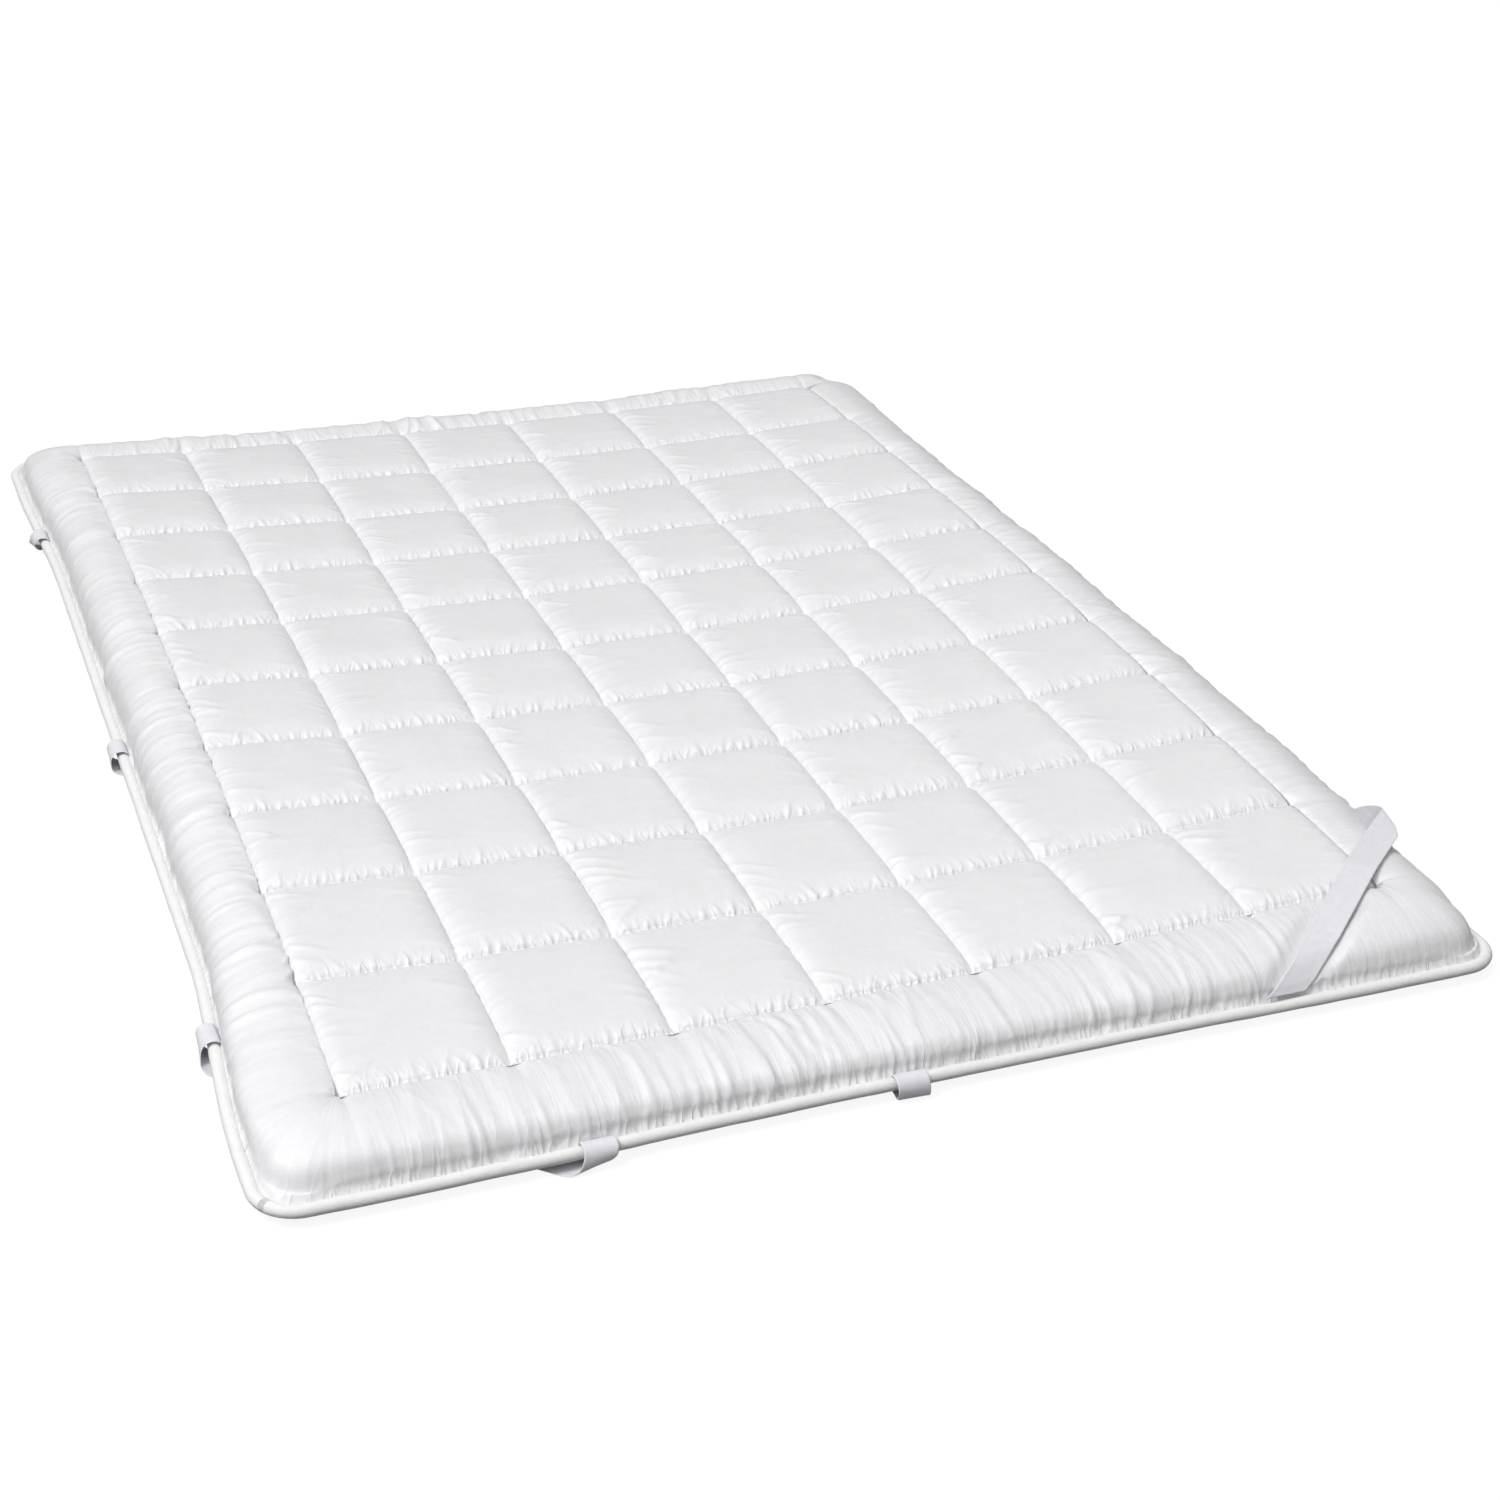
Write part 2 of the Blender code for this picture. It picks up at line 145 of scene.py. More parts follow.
# %% [markdown]
# ## Uneven cloth
# Cloth that is gathered by a seam stands up in short, irregular tucks across it, and a stuffed
# edge has longer rolling wrinkles. Two helpers make both: one gives separate small ridges at
# jittered places along a seam, the other a soft random field that can be stretched into long
# wrinkles. Both are fixed by a seed, so that the topper is the same each time.

# %% Helpers for tucks and wrinkles
def soft_noise(u, v, seed, period=509):
    """Random heights on a unit lattice, joined by an S-shaped mix in both directions (-1 to 1)."""
    table = np.random.default_rng(seed).uniform(-1, 1, (period, 61))
    iu, iv = np.floor(u).astype(int), np.floor(v).astype(int)
    fu, fv = u - iu, v - iv
    fu, fv = fu**3 * (fu * (6 * fu - 15) + 10), fv**3 * (fv * (6 * fv - 15) + 10)
    low = table[iu % period, iv % 61] * (1 - fu) + table[(iu + 1) % period, iv % 61] * fu
    high = table[iu % period, (iv + 1) % 61] * (1 - fu) + table[(iu + 1) % period, (iv + 1) % 61] * fu
    return low * (1 - fv) + high * fv


def gathers(along, away, spacing, reach, seed, slant=0.25, thin=0.2):
    """Ridges across a seam: the sum of a * exp(-(offset/width)^2) * exp(-(away/length)^2).

    along is the place on the seam and away the distance from it. Each ridge has its own place,
    height a, length, width and slant, taken from a table of random numbers.
    """
    rng = np.random.default_rng(seed)
    jitter, tilt = rng.uniform(-0.38, 0.38, 997), rng.uniform(-slant, slant, 997)
    height, length = rng.uniform(0.25, 1.0, 997), rng.uniform(0.45, 1.5, 997)
    width = thin * spacing * rng.uniform(0.7, 1.4, 997)
    total = np.zeros(np.broadcast(along, away).shape)
    nearest = np.floor(along / spacing + 0.5).astype(int)
    for step in (-1, 0, 1):
        n = (nearest + step) % 997
        offset = along - (nearest + step + jitter[n]) * spacing - tilt[n] * away
        spread = width[n] * (1 + 0.7 * away / reach)
        total += height[n] * np.exp(-((offset / spread) ** 2) - (away / (reach * length[n])) ** 2)
    return total


# %% [markdown]
# ## The pad
# The pad is the filled quilt itself. It could be grown by a cloth simulation, but the seams that
# make a quilt are only a thread wide, and a simulation fine enough to hold them is slow. Here its
# upper face is one function of two numbers: a place across and a place along, counted in cells,
# or in rings of the border outside the stitched frame. The profile of the border is a short table
# of rings, joined by a cubic kernel. The result is one grid of points, with no seams to close.

# %% Border profile
#        out    height   puff    puff at the head end
BORDER = np.array([
    (0.00, 1.00, 0.0000, 0.0000),
    (0.04, 1.00, 0.0045, 0.0045),
    (0.14, 1.00, 0.0088, 0.0092),
    (0.38, 0.97, 0.0115, 0.0120),
    (0.66, 0.85, 0.0088, 0.0022),
    (0.90, 0.48, 0.0052, -0.0014),
    (1.00, 0.00, 0.0000, 0.0000),
])
RINGS = len(BORDER) + 1  # the shoulder is followed by the tuck and the rim
TUCK_INSET, TUCK_TOP = 0.0100, 0.0270
RIM_INSET, RIM_HEIGHT = 0.0045, 0.0170
CORNER_RADIUS = 0.045
# Insets and heights of the shoulder: columns are side and end, rows are negative and positive.
SHOULDER_INSET = np.array([(0.010, 0.012), (-0.004, 0.014)])
SHOULDER_HEIGHT = np.array([(0.046, 0.038), (0.052, 0.029)])
# A filled corner tapers to the piping, more at the foot end than at the flatter head end.
CORNER_INSET, CORNER_FALL, HEAD_FALL = 0.013, 0.0125, 0.0020
PULLED_FROM, PULLED_IN, PULLED_DOWN = 0.50, 0.012, 0.014  # the right side by the turned strap


def kernel(t):
    """The cubic that passes through its own knot and leaves the others alone (Catmull-Rom)."""
    t = np.abs(t)
    near = 1.5 * t**3 - 2.5 * t**2 + 1
    far = -0.5 * t**3 + 2.5 * t**2 - 4 * t + 2
    return np.where(t < 1, near, np.where(t < 2, far, 0))


def through(knots, place):
    """A smooth curve through knots 0, 1, 2 ... of arrays, read at a place between them."""
    first, last = 2 * knots[0] - knots[1], 2 * knots[-1] - knots[-2]
    total = kernel(place + 1) * first + kernel(place - len(knots)) * last
    for k, knot in enumerate(knots):
        total = total + kernel(place - k) * knot
    return total


# %% Places across and along
RING_STEPS = (2, 3, 5, 6, 6, 5, 5, 4)


def stations(cells, per_cell, crowd):
    """Grid places from rim to rim: (position in cells, ring, side sign).

    Inside a cell they crowd towards the stitches: t - crowd * sin(2 pi t) / (2 pi).
    """
    rings = np.concatenate([k + np.arange(n) / n for k, n in enumerate(RING_STEPS)])
    rings = np.append(rings, RINGS)[1:]
    t = np.arange(per_cell) / per_cell
    inside = (np.arange(cells)[:, None] + t - crowd * np.sin(2 * np.pi * t) / (2 * np.pi)).ravel()
    inside = np.append(inside, cells)
    position = np.concatenate([np.zeros(len(rings)), inside, np.full(len(rings), cells)])
    ring = np.concatenate([rings[::-1], np.zeros(len(inside)), rings])
    sign = np.where(position > cells / 2, 1, -1)
    return position, ring, sign


ACROSS = stations(COLUMNS, 80, 0.05)
ALONG = stations(ROWS, 64, 0.20)
print("grid of", len(ACROSS[0]), "by", len(ALONG[0]), "points")

# %% From places to points
CORNER_ARC = 0.14


def lay_out(across, along):
    """Everything later shapes need at each grid place, as arrays over the grid.

    ring is how far out in the border, turn is 0 on a side and 1 on an end, and around is the
    distance round the frame, which makes wrinkles run on through the corners.
    """
    (ca, ra, sa), (cb, rb, sb) = [[a[:, None] for a in across], [b[None, :] for b in along]]
    shape = (ca.shape[0], cb.shape[1])
    u, v = 2 * ca / COLUMNS - 1, 2 * cb / ROWS - 1
    fx, fy = line_place(COLUMN_LINES, ca, v), line_place(ROW_LINES, cb, u)
    ring = np.maximum(ra, rb) + np.zeros(shape)
    low, high = np.minimum(ra, rb), np.maximum(ring, 1e-9)
    half_turn = 0.5 * low / high
    turn = np.where(ra >= rb, half_turn, 1 - half_turn)
    turn = np.where((ra == 0) & (rb == 0), 0.0, turn)
    sx, sy = sa + np.zeros(shape, int), sb + np.zeros(shape, int)
    in_side, in_end = (ra > 0) & (rb == 0), (rb > 0) & (ra == 0)
    corner = (ra > 0) & (rb > 0)
    # Round the frame from the far end of the right side: right, foot, left, head, with an arc
    # at each corner.
    arc, long_side, short_side = CORNER_ARC, 2 * HALF_Y, 2 * HALF_X
    to_left = long_side + 2 * arc + short_side
    right = np.where(corner, np.where(sy < 0, long_side + turn * arc, 0), HALF_Y - fy)
    left = np.where(corner, np.where(sy < 0, to_left - turn * arc, to_left + long_side + turn * arc),
                    to_left + HALF_Y + fy)
    last = to_left + long_side + 2 * arc + short_side
    right = np.where(corner & (sy > 0), last - turn * arc, right)
    foot, head = long_side + arc + HALF_X - fx, to_left + long_side + arc + HALF_X + fx
    around = np.where(in_end, np.where(sy > 0, head, foot), np.where(sx > 0, right, left))
    return dict(ca=ca + 0 * fx, cb=cb + 0 * fx, fx=fx, fy=fy, ring=ring, turn=turn, sx=sx, sy=sy,
                side=in_side, end=in_end, corner=corner, around=around, last=last)


def corner_distance(turn, out_x, out_y, radius):
    """From the frame's corner to a rectangle with a rounded corner, along a ray.

    The ray meets a straight side at out / cos or out / sin, or else the arc: the far root of
    |t d - c| = radius, with c the arc's centre.
    """
    angle = turn * np.pi / 2
    dx, dy = np.cos(angle), np.sin(angle)
    cx, cy = out_x - radius, out_y - radius
    straight = np.minimum(out_x / np.maximum(dx, 1e-6), out_y / np.maximum(dy, 1e-6))
    reach = dx * cx + dy * cy
    root = np.maximum(reach**2 - (cx**2 + cy**2 - radius**2), 0)
    on_arc = (straight * dx > cx) & (straight * dy > cy)
    return np.where(on_arc, reach + np.sqrt(root), straight)


def border_plan(at, out_side, out_end, radius):
    """Plan points at given distances out from the frame, straight out or fanned at a corner."""
    distance = np.where(at["corner"], corner_distance(at["turn"], out_side, out_end, radius),
                        np.where(at["end"], out_end, out_side))
    distance = np.where(at["ring"] > 0, distance, 0)
    angle = at["turn"] * np.pi / 2
    x = at["fx"] + at["sx"] * distance * np.where(at["end"], 0, np.cos(angle))
    y = at["fy"] + at["sy"] * distance * np.where(at["side"], 0, np.sin(angle))
    return x, y


def reaches(at):
    """How far the piping lies outside the frame, on the side and on the end."""
    side = side_reach(at["sx"], at["fy"]) - np.abs(at["fx"])
    end = end_reach(at["sy"], at["fx"]) - np.abs(at["fy"])
    return side, end


def shoulder_of(at, table):
    """A shoulder value for the side and for the end that each place belongs to."""
    return table[(at["sx"] > 0).astype(int), 0], table[(at["sy"] > 0).astype(int), 1]


# %% The upper face before wrinkles
CELL_PUFF = 0.0175
COLUMN_LIFT = 0.0055  # a column line rises between two rows, because it is sewn less tightly


def pillow(distance, sharp):
    """Rise of a filled cell from its seam: sqrt(1 - (1 - d)^sharp), steep at the stitch, flat on top."""
    d = np.clip(distance / (CELL / 2), 0, 1)
    return np.sqrt(1 - (1 - d) ** sharp)


def upper_face(at):
    """Smooth upper face: bowl + pillows inside the frame, ring profile outside it."""
    seam = seam_height(at["fx"], at["fy"])
    to_column = np.abs(at["ca"] - np.round(at["ca"])) * CELL
    to_row = np.abs(at["cb"] - np.round(at["cb"])) * CELL
    rng = np.random.default_rng(3)
    fill = rng.uniform(0.90, 1.06, (COLUMNS, ROWS))
    column = np.clip(at["ca"].astype(int), 0, COLUMNS - 1)
    row = np.clip(at["cb"].astype(int), 0, ROWS - 1)
    puff = (CELL_PUFF * fill[column, row] - COLUMN_LIFT) * pillow(to_column, 7) * pillow(to_row, 4)
    lift = COLUMN_LIFT * pillow(to_row, 4) * (1 - smooth(0, 3.0, at["ring"]))
    side, end = reaches(at)
    inset_side, inset_end = shoulder_of(at, SHOULDER_INSET)
    high_side, high_end = shoulder_of(at, SHOULDER_HEIGHT)
    pull = np.where((at["sx"] > 0) & (at["sy"] < 0), smooth(PULLED_FROM, HALF_Y, -at["fy"]), 0)
    inset_side, high_side = inset_side + PULLED_IN * pull, high_side - PULLED_DOWN * pull
    diagonal = np.where(at["corner"], (4 * at["turn"] * (1 - at["turn"])) ** 2, 0)
    inset_side = inset_side + diagonal * (CORNER_INSET - inset_side)
    inset_end = inset_end + diagonal * (CORNER_INSET - inset_end)
    fall = np.where(at["sy"] > 0, HEAD_FALL, CORNER_FALL) * diagonal
    shoulder = high_side + smooth(0, 1, at["turn"]) * (high_end - high_side) - fall
    shoulder = np.where(at["end"], high_end, shoulder)
    head = np.where(at["sy"] > 0, np.where(at["end"], 1, smooth(0, 1, at["turn"])), 0)
    out_side = [share * (side - inset_side) for share in BORDER[:, 0]]
    out_end = [share * (end - inset_end) for share in BORDER[:, 0]]
    out_side += [side - TUCK_INSET, side - RIM_INSET]
    out_end += [end - TUCK_INSET, end - RIM_INSET]
    heights = [shoulder + h * (seam - shoulder) + p + head * (q - p) for _, h, p, q in BORDER]
    heights += [TUCK_TOP + 0 * seam, RIM_HEIGHT + 0 * seam]
    out_side, out_end = through(out_side, at["ring"]), through(out_end, at["ring"])
    radius = CORNER_RADIUS * np.clip(out_side / side, 0.02, 1)
    x, y = border_plan(at, out_side, out_end, radius)
    z = np.where(at["ring"] > 0, through(heights, at["ring"]), seam + puff) + lift
    return np.stack([x, y, z], -1), to_column, to_row


at = lay_out(ACROSS, ALONG)
face, to_column, to_row = upper_face(at)
print("upper face spans", face.reshape(-1, 3).min(0).round(3), face.reshape(-1, 3).max(0).round(3))

# %% [markdown]
# ## Tucks, folds and pinches
# Each row of stitching gathers the cloth, so that short tucks stand across it; the column lines
# gather less. The border is fuller: it is pinched where each stitched line ends, rolls in waves
# towards the piping, and is gathered again by the edge seam. All of this is one field of heights,
# added along the face's own normal. The strap that is turned up over one corner is pulled tight,
# so the border is pressed down beneath it as the last step.

# %% Add the wrinkles
def normals_of(points):
    """Unit normals of a grid of points: the cross product of its two directions."""
    normal = np.cross(np.gradient(points, axis=0), np.gradient(points, axis=1))
    return normal / np.maximum(np.linalg.norm(normal, axis=-1, keepdims=True), 1e-12)


def cell_wrinkles(at, face, to_column, to_row):
    """Tucks at row and column lines and a slow unevenness of each pillow, in metres."""
    x, y = face[..., 0], face[..., 1]
    row, column = np.round(at["cb"]), np.round(at["ca"])
    above = at["cb"] > row
    rise = 1 - np.exp(-to_row / 0.0012)
    ends = smooth(0.002, 0.020, to_column)
    # Each side of each line has its own run of tucks.
    run = x + row * 3.1 + np.where(above, 1.7, 0)
    tucks = 0.0026 * gathers(run, to_row, 0.0150, 0.0110, 11, slant=0.6, thin=0.105)
    tucks += 0.0013 * gathers(run + 5, to_row, 0.0090, 0.0060, 12, slant=0.4, thin=0.15)
    tucks *= rise * ends
    run = y + column * 2.3 + np.where(at["ca"] > column, 0.9, 0)
    rise = 1 - np.exp(-to_column / 0.0015)
    ends = smooth(0.002, 0.025, to_row)
    right = np.where(at["ca"] > column, 1.0, 0.45)
    folds = 0.0032 * right * gathers(run, to_column, 0.0190, 0.034, 13, slant=0.9, thin=0.13)
    folds = folds * rise * ends
    slow = 0.0013 * soft_noise(x / 0.11, y / 0.11, 14) + 0.0006 * soft_noise(x / 0.045, y / 0.045, 15)
    slow = slow * smooth(0, 0.03, to_column) * smooth(0, 0.03, to_row)
    return tucks + folds + slow


def border_wrinkles(at, face):
    """Pinches in line with the stitched lines, rolling folds and gathers at both seams."""
    ring, around = at["ring"], at["around"]
    out = np.clip(ring / 6, 0, 1)
    position = np.where(at["end"], at["ca"], at["cb"])
    off_line = np.abs(position - np.round(position)) * CELL
    off_line = np.where(at["corner"], np.minimum(at["turn"], 1 - at["turn"]) * CORNER_ARC, off_line)
    foot = smooth(0.25, 0.75, np.where(at["sy"] < 0, np.where(at["end"], 1, at["turn"]), 0))
    left = np.where((at["sx"] < 0) & ~at["end"], 1 - at["turn"], 0)
    fade = smooth(0.0, 0.7, ring) * (1 - smooth(7.0, 7.8, ring))
    # A corner is smooth, and the folds come back gradually on both of its sides, latest by the
    # turned strap.
    from_corner = np.where(at["side"], HALF_Y - np.abs(at["fy"]), HALF_X - np.abs(at["fx"]))
    from_corner = np.where(at["corner"], 0.0, from_corner)
    quiet = np.where((at["sx"] > 0) & (at["sy"] < 0), 0.130, 0.070)
    calm = np.exp(-((from_corner / quiet) ** 2)) * (1 - 0.5 * smooth(3.0, 6.5, ring))
    pinch = -0.0036 * np.exp(-((off_line / 0.008) ** 2)) * np.exp(-((ring / 3.2) ** 2))
    lean = 0.006 * np.sin(around * 9) + out * (0.020 * foot - 0.012 * left)
    wave = soft_noise((around + lean) / 0.0105, out * 1.8, 21)
    crease = 1 - 2 * np.abs(soft_noise((around + lean) / 0.0230, out * 1.3, 22))
    rolls = (0.0008 * wave * (1 + 0.9 * left) + 0.0011 * (1 + 0.5 * left) * crease) * smooth(0.4, 2.6, ring)
    puffs = 0.0020 * soft_noise(around / 0.060, out * 0.8, 23) * smooth(1, 4, ring)
    away = out * 0.09
    patchy = 0.75 + 0.65 * soft_noise(around / 0.085, 0 * out + 0.5, 29)
    from_frame = 0.0021 * gathers(around + lean, away, 0.0130, 0.034, 24, slant=0.45, thin=0.15)
    from_frame += 0.0036 * gathers(around + lean, away, 0.0520, 0.060, 28, slant=0.9, thin=0.06)
    from_frame, rolls = from_frame * patchy, rolls * patchy
    to_edge = (1 - np.clip(ring / 7.6, 0, 1)) * 0.08
    from_edge = 0.0028 * gathers(around, to_edge, 0.0150, 0.028, 26, slant=0.3, thin=0.14)
    start = smooth(0.0, 0.03, around) * smooth(0.0, 0.03, at["last"] - around)
    folds = (rolls + puffs + from_frame) * (1 - calm) + from_edge * (1 - 0.8 * calm)
    return (pinch + folds * start) * fade


def strap_limit(y):
    """Height that the turned strap presses the border down to, curving up from the foot seam."""
    return 0.0252 + 0.043 * (1 - np.exp(-np.maximum(y + 0.9868, 0) / 0.030))


def press_strap(face):
    """Lowers the face to the limit beneath the strap: exp(-(aside/width)^6) of the excess."""
    offset = face[..., :2] - [0.425, -0.984]
    aside = offset @ np.array([-0.648, 0.762])
    mask = np.exp(-((aside / 0.027) ** 6)) * (face[..., 0] < 0.62)
    mask = mask * (1 - smooth(-0.915, -0.880, face[..., 1]))
    face[..., 2] -= np.maximum(face[..., 2] - strap_limit(face[..., 1]), 0) * mask
    return face


wrinkles = np.where(at["ring"] > 0, border_wrinkles(at, face),
                    cell_wrinkles(at, face, to_column, to_row))
face = press_strap(face + normals_of(face) * wrinkles[..., None])
print("wrinkles from", wrinkles.min().round(5), "to", wrinkles.max().round(5), "m")

# %% [markdown]
# ## The underside and the closed mesh
# Nobody sees much of the underside, so its grid takes only every fourth line. It lies flat on the
# resting plane and rises in a channel under each seam. The two grids meet at the rim, where a
# fan of triangles joins four fine edges to each coarse one.

# %% The underside
COARSE = 4
UNDER_RINGS = (0.012, 0.006, 0.004, 0.003, 0.003, 0.004, 0.007, 0.0095, RIM_HEIGHT)


def lower_face(at):
    """Underside: flat under each cell, a channel under each stitched line, curling up at the rim."""
    to_column = np.abs(at["ca"] - np.round(at["ca"])) * CELL
    to_row = np.abs(at["cb"] - np.round(at["cb"])) * CELL
    flat = smooth(0.001, 0.026, to_column) * smooth(0.001, 0.026, to_row)
    side, end = reaches(at)
    inset = TUCK_INSET + 0.002
    out_side = [o * (side - inset) for o in BORDER[:, 0]] + [side - TUCK_INSET, side - RIM_INSET]
    out_end = [o * (end - inset) for o in BORDER[:, 0]] + [end - TUCK_INSET, end - RIM_INSET]
    out_side, out_end = through(out_side, at["ring"]), through(out_end, at["ring"])
    radius = CORNER_RADIUS * np.clip(out_side / side, 0.02, 1)
    x, y = border_plan(at, out_side, out_end, radius)
    rings = through([np.float64(h) for h in UNDER_RINGS], at["ring"])
    lift = np.where((np.abs(at["fx"]) > HALF_X - CELL) & (np.abs(at["fy"]) > HALF_Y - CELL), 0.003, 0)
    return np.stack([x, y, np.where(at["ring"] > 0, rings, 0.012 * (1 - flat) + lift * flat)], -1)


def rim_loop(grid):
    """The outermost points of a grid, once round, anticlockwise seen from above."""
    return np.concatenate([grid[:-1, 0], grid[-1, :-1], grid[:0:-1, -1], grid[0, :0:-1]])


def grid_faces(index):
    """Four-sided faces of a grid of point numbers, facing up."""
    return np.stack([index[:-1, :-1], index[1:, :-1], index[1:, 1:], index[:-1, 1:]], -1).reshape(-1, 4)


# %% Helpers that put arrays into a mesh
def mesh_object(name, points, quads, triangles=None):
    """A new object from arrays of points, four-sided faces and triangles, shaded smooth."""
    triangles = np.zeros((0, 3), int) if triangles is None else triangles
    data = bpy.data.meshes.new(name)
    data.vertices.add(len(points))
    data.vertices.foreach_set("co", np.ascontiguousarray(points, np.float32).ravel())
    corners = np.concatenate([quads.ravel(), triangles.ravel()]).astype(np.int32)
    sizes = np.concatenate([np.full(len(quads), 4), np.full(len(triangles), 3)])
    data.loops.add(len(corners))
    data.loops.foreach_set("vertex_index", corners)
    data.polygons.add(len(sizes))
    starts = np.concatenate([[0], np.cumsum(sizes)[:-1]]).astype(np.int32)
    data.polygons.foreach_set("loop_start", starts)
    data.polygons.foreach_set("use_smooth", np.ones(len(sizes), bool))
    data.update(calc_edges=True)
    data.validate()
    made = bpy.data.objects.new(name, data)
    bpy.context.scene.collection.objects.link(made)
    print(name, "has", len(points), "points and", len(quads) * 2 + len(triangles), "triangles")
    return made


def add_uv(made, uv_of_point, name="cloth"):
    """A UV map in metres, given for each point."""
    layer = made.data.uv_layers.new(name=name)
    index = np.empty(len(made.data.loops), np.int32)
    made.data.loops.foreach_get("vertex_index", index)
    layer.data.foreach_set("uv", np.ascontiguousarray(uv_of_point[index], np.float32).ravel())


# %% Build the pad
def make_pad(face, coarse_points):
    """Joins the fine upper face and the coarse underside along the rim."""
    top = np.arange(face.shape[0] * face.shape[1]).reshape(face.shape[:2])
    inner = coarse_points[1:-1, 1:-1]
    under = len(top.ravel()) + np.arange(inner.shape[0] * inner.shape[1]).reshape(inner.shape[:2])
    quads = np.concatenate([grid_faces(top), grid_faces(under)[:, ::-1]])
    # The coarse rim is every fourth point of the fine one, and the first ring inside it is
    # joined to it by quads, so that the fans have only the rim's own points at their ends.
    fine = rim_loop(top)
    ring = np.pad(under, 1, mode="edge")
    coarse = rim_loop(ring)
    step = fine.reshape(-1, COARSE)
    following = np.roll(step[:, 0], -1)[:, None]
    ends = np.concatenate([step, following], 1)
    next_coarse = np.roll(coarse, -1)
    half = COARSE // 2
    first = [np.stack([coarse, ends[:, k + 1], ends[:, k]], 1) for k in range(half)]
    second = [np.stack([next_coarse, ends[:, k + 1], ends[:, k]], 1) for k in range(half, COARSE)]
    middle = np.stack([coarse, next_coarse, ends[:, half]], 1)[coarse != next_coarse]
    triangles = np.concatenate(first + second + [middle])
    points = np.concatenate([face.reshape(-1, 3), inner.reshape(-1, 3)]) + LAYOUT
    return mesh_object("pad_quilted", points, quads, triangles)


def seam_map(at, to_row, coarse):
    """(place along the nearest gathering seam, distance from it) for each point of the pad.

    Inside the frame that is a row line. In the border it is the frame or the edge seam.
    """
    in_border = at["ring"] > 0
    out = np.clip(at["ring"] / 7.6, 0, 1) * 0.10
    along = np.where(in_border, at["around"], at["fx"] + np.round(at["cb"]) * 3.1)
    away = np.where(in_border, 0.35 * np.minimum(out, 0.10 - out), to_row)
    upper = np.stack([along, away], -1).reshape(-1, 2)
    return np.concatenate([upper, np.tile([0, 1], (coarse, 1))])


coarse_at = lay_out([a[::COARSE] for a in ACROSS], [b[::COARSE] for b in ALONG])
pad = make_pad(face, lower_face(coarse_at))
add_uv(pad, seam_map(at, to_row, len(pad.data.vertices) - to_row.size), "seam")
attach(pad, "root")
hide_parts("pad")

# %% [markdown]
# ## The stitching
# A lockstitch shows as a row of short threads, each dipping into the cloth at both ends. One
# stitch is a small spindle of a few faces, and arrays of places and directions copy it along
# every line at once, which keeps them all in one light mesh.

# %% Sew the lines
STITCH, THREAD = 0.0042, 0.00045


def stitch_lines():
    """Points along every stitched line, one per stitch, with the way it runs."""
    places = []
    for line in range(ROWS + 1):
        position = np.arange(0, COLUMNS, STITCH / CELL)
        u = 2 * position / COLUMNS - 1
        fx = line_place(COLUMN_LINES, position, np.full_like(u, 2 * line / ROWS - 1))
        fy = line_place(ROW_LINES, np.full_like(u, line), u)
        places.append(np.stack([fx, fy, seam_height(fx, fy)], -1))
    for line in range(COLUMNS + 1):
        position = np.arange(0, ROWS, STITCH / CELL)
        v = 2 * position / ROWS - 1
        fx = line_place(COLUMN_LINES, np.full_like(v, line), v)
        fy = line_place(ROW_LINES, position, np.full_like(v, 2 * line / COLUMNS - 1))
        lift = COLUMN_LIFT * pillow(np.abs(position - np.round(position)) * CELL, 4)
        places.append(np.stack([fx, fy, seam_height(fx, fy) + lift], -1))
    ways = [np.gradient(p, axis=0) for p in places]
    return np.concatenate(places), np.concatenate(ways)


def spindle(sides=5):
    """One stitch along X from -1 to 1: three rings of radius 0.78, 1 and 0.78 and two tips."""
    x, r = np.array([-0.62, 0.0, 0.62]), np.array([0.78, 1.0, 0.78])
    angle = 2 * np.pi * np.arange(sides) / sides
    wide, tall = np.outer(r, np.cos(angle)).ravel(), np.outer(r, np.sin(angle)).ravel()
    rings = np.stack([np.repeat(x, sides), wide, tall], -1)
    points = np.concatenate([rings, [(-1, 0, 0), (1, 0, 0)]])
    index = np.arange(3 * sides).reshape(3, sides)
    turned = np.roll(index, -1, 1)
    quads = np.stack([index[:-1], index[1:], turned[1:], turned[:-1]], -1).reshape(-1, 4)
    tips = np.concatenate([
        np.stack([np.full(sides, 3 * sides), index[0], turned[0]], -1),
        np.stack([np.full(sides, 3 * sides + 1), turned[-1], index[-1]], -1),
    ])
    return points, quads[:, ::-1], tips[:, ::-1]


def copy_along(name, shape, places, ways, length, radius):
    """Copies of a small shape: place + x * way + y * side + (z + arch * (1 - x^2)) * up."""
    points, quads, tips = shape
    way = ways / np.linalg.norm(ways, axis=1, keepdims=True)
    side = np.cross([0, 0, 1], way)
    side /= np.linalg.norm(side, axis=1, keepdims=True)
    up = np.cross(way, side)
    spread = (points[None, :, 0:1] * length * way[:, None] + points[None, :, 1:2] * radius * side[:, None]
              + points[None, :, 2:3] * radius * up[:, None])
    arch = 0.0004 * (1 - points[:, 0] ** 2)
    spread = spread + up[:, None] * arch[None, :, None] + places[:, None]
    shift = (np.arange(len(places)) * len(points))[:, None, None]
    quads, tips = (quads + shift).reshape(-1, 4), (tips + shift).reshape(-1, 3)
    return mesh_object(name, spread.reshape(-1, 3), quads, tips)


places, ways = stitch_lines()
places = places + LAYOUT + [0, 0, 0.0002]
stitches = copy_along("stitching", spindle(), places, ways, STITCH * 0.44, THREAD)
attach(stitches, "root")

# %% [markdown]
# ## The piping
# A cord wrapped in a strip of cloth is caught in the edge seam all the way round. It is a circle
# carried along the outline. Its covering was pulled tight by hand, so it bulges and narrows a
# little, rises and falls, and dips where tape presses on it.

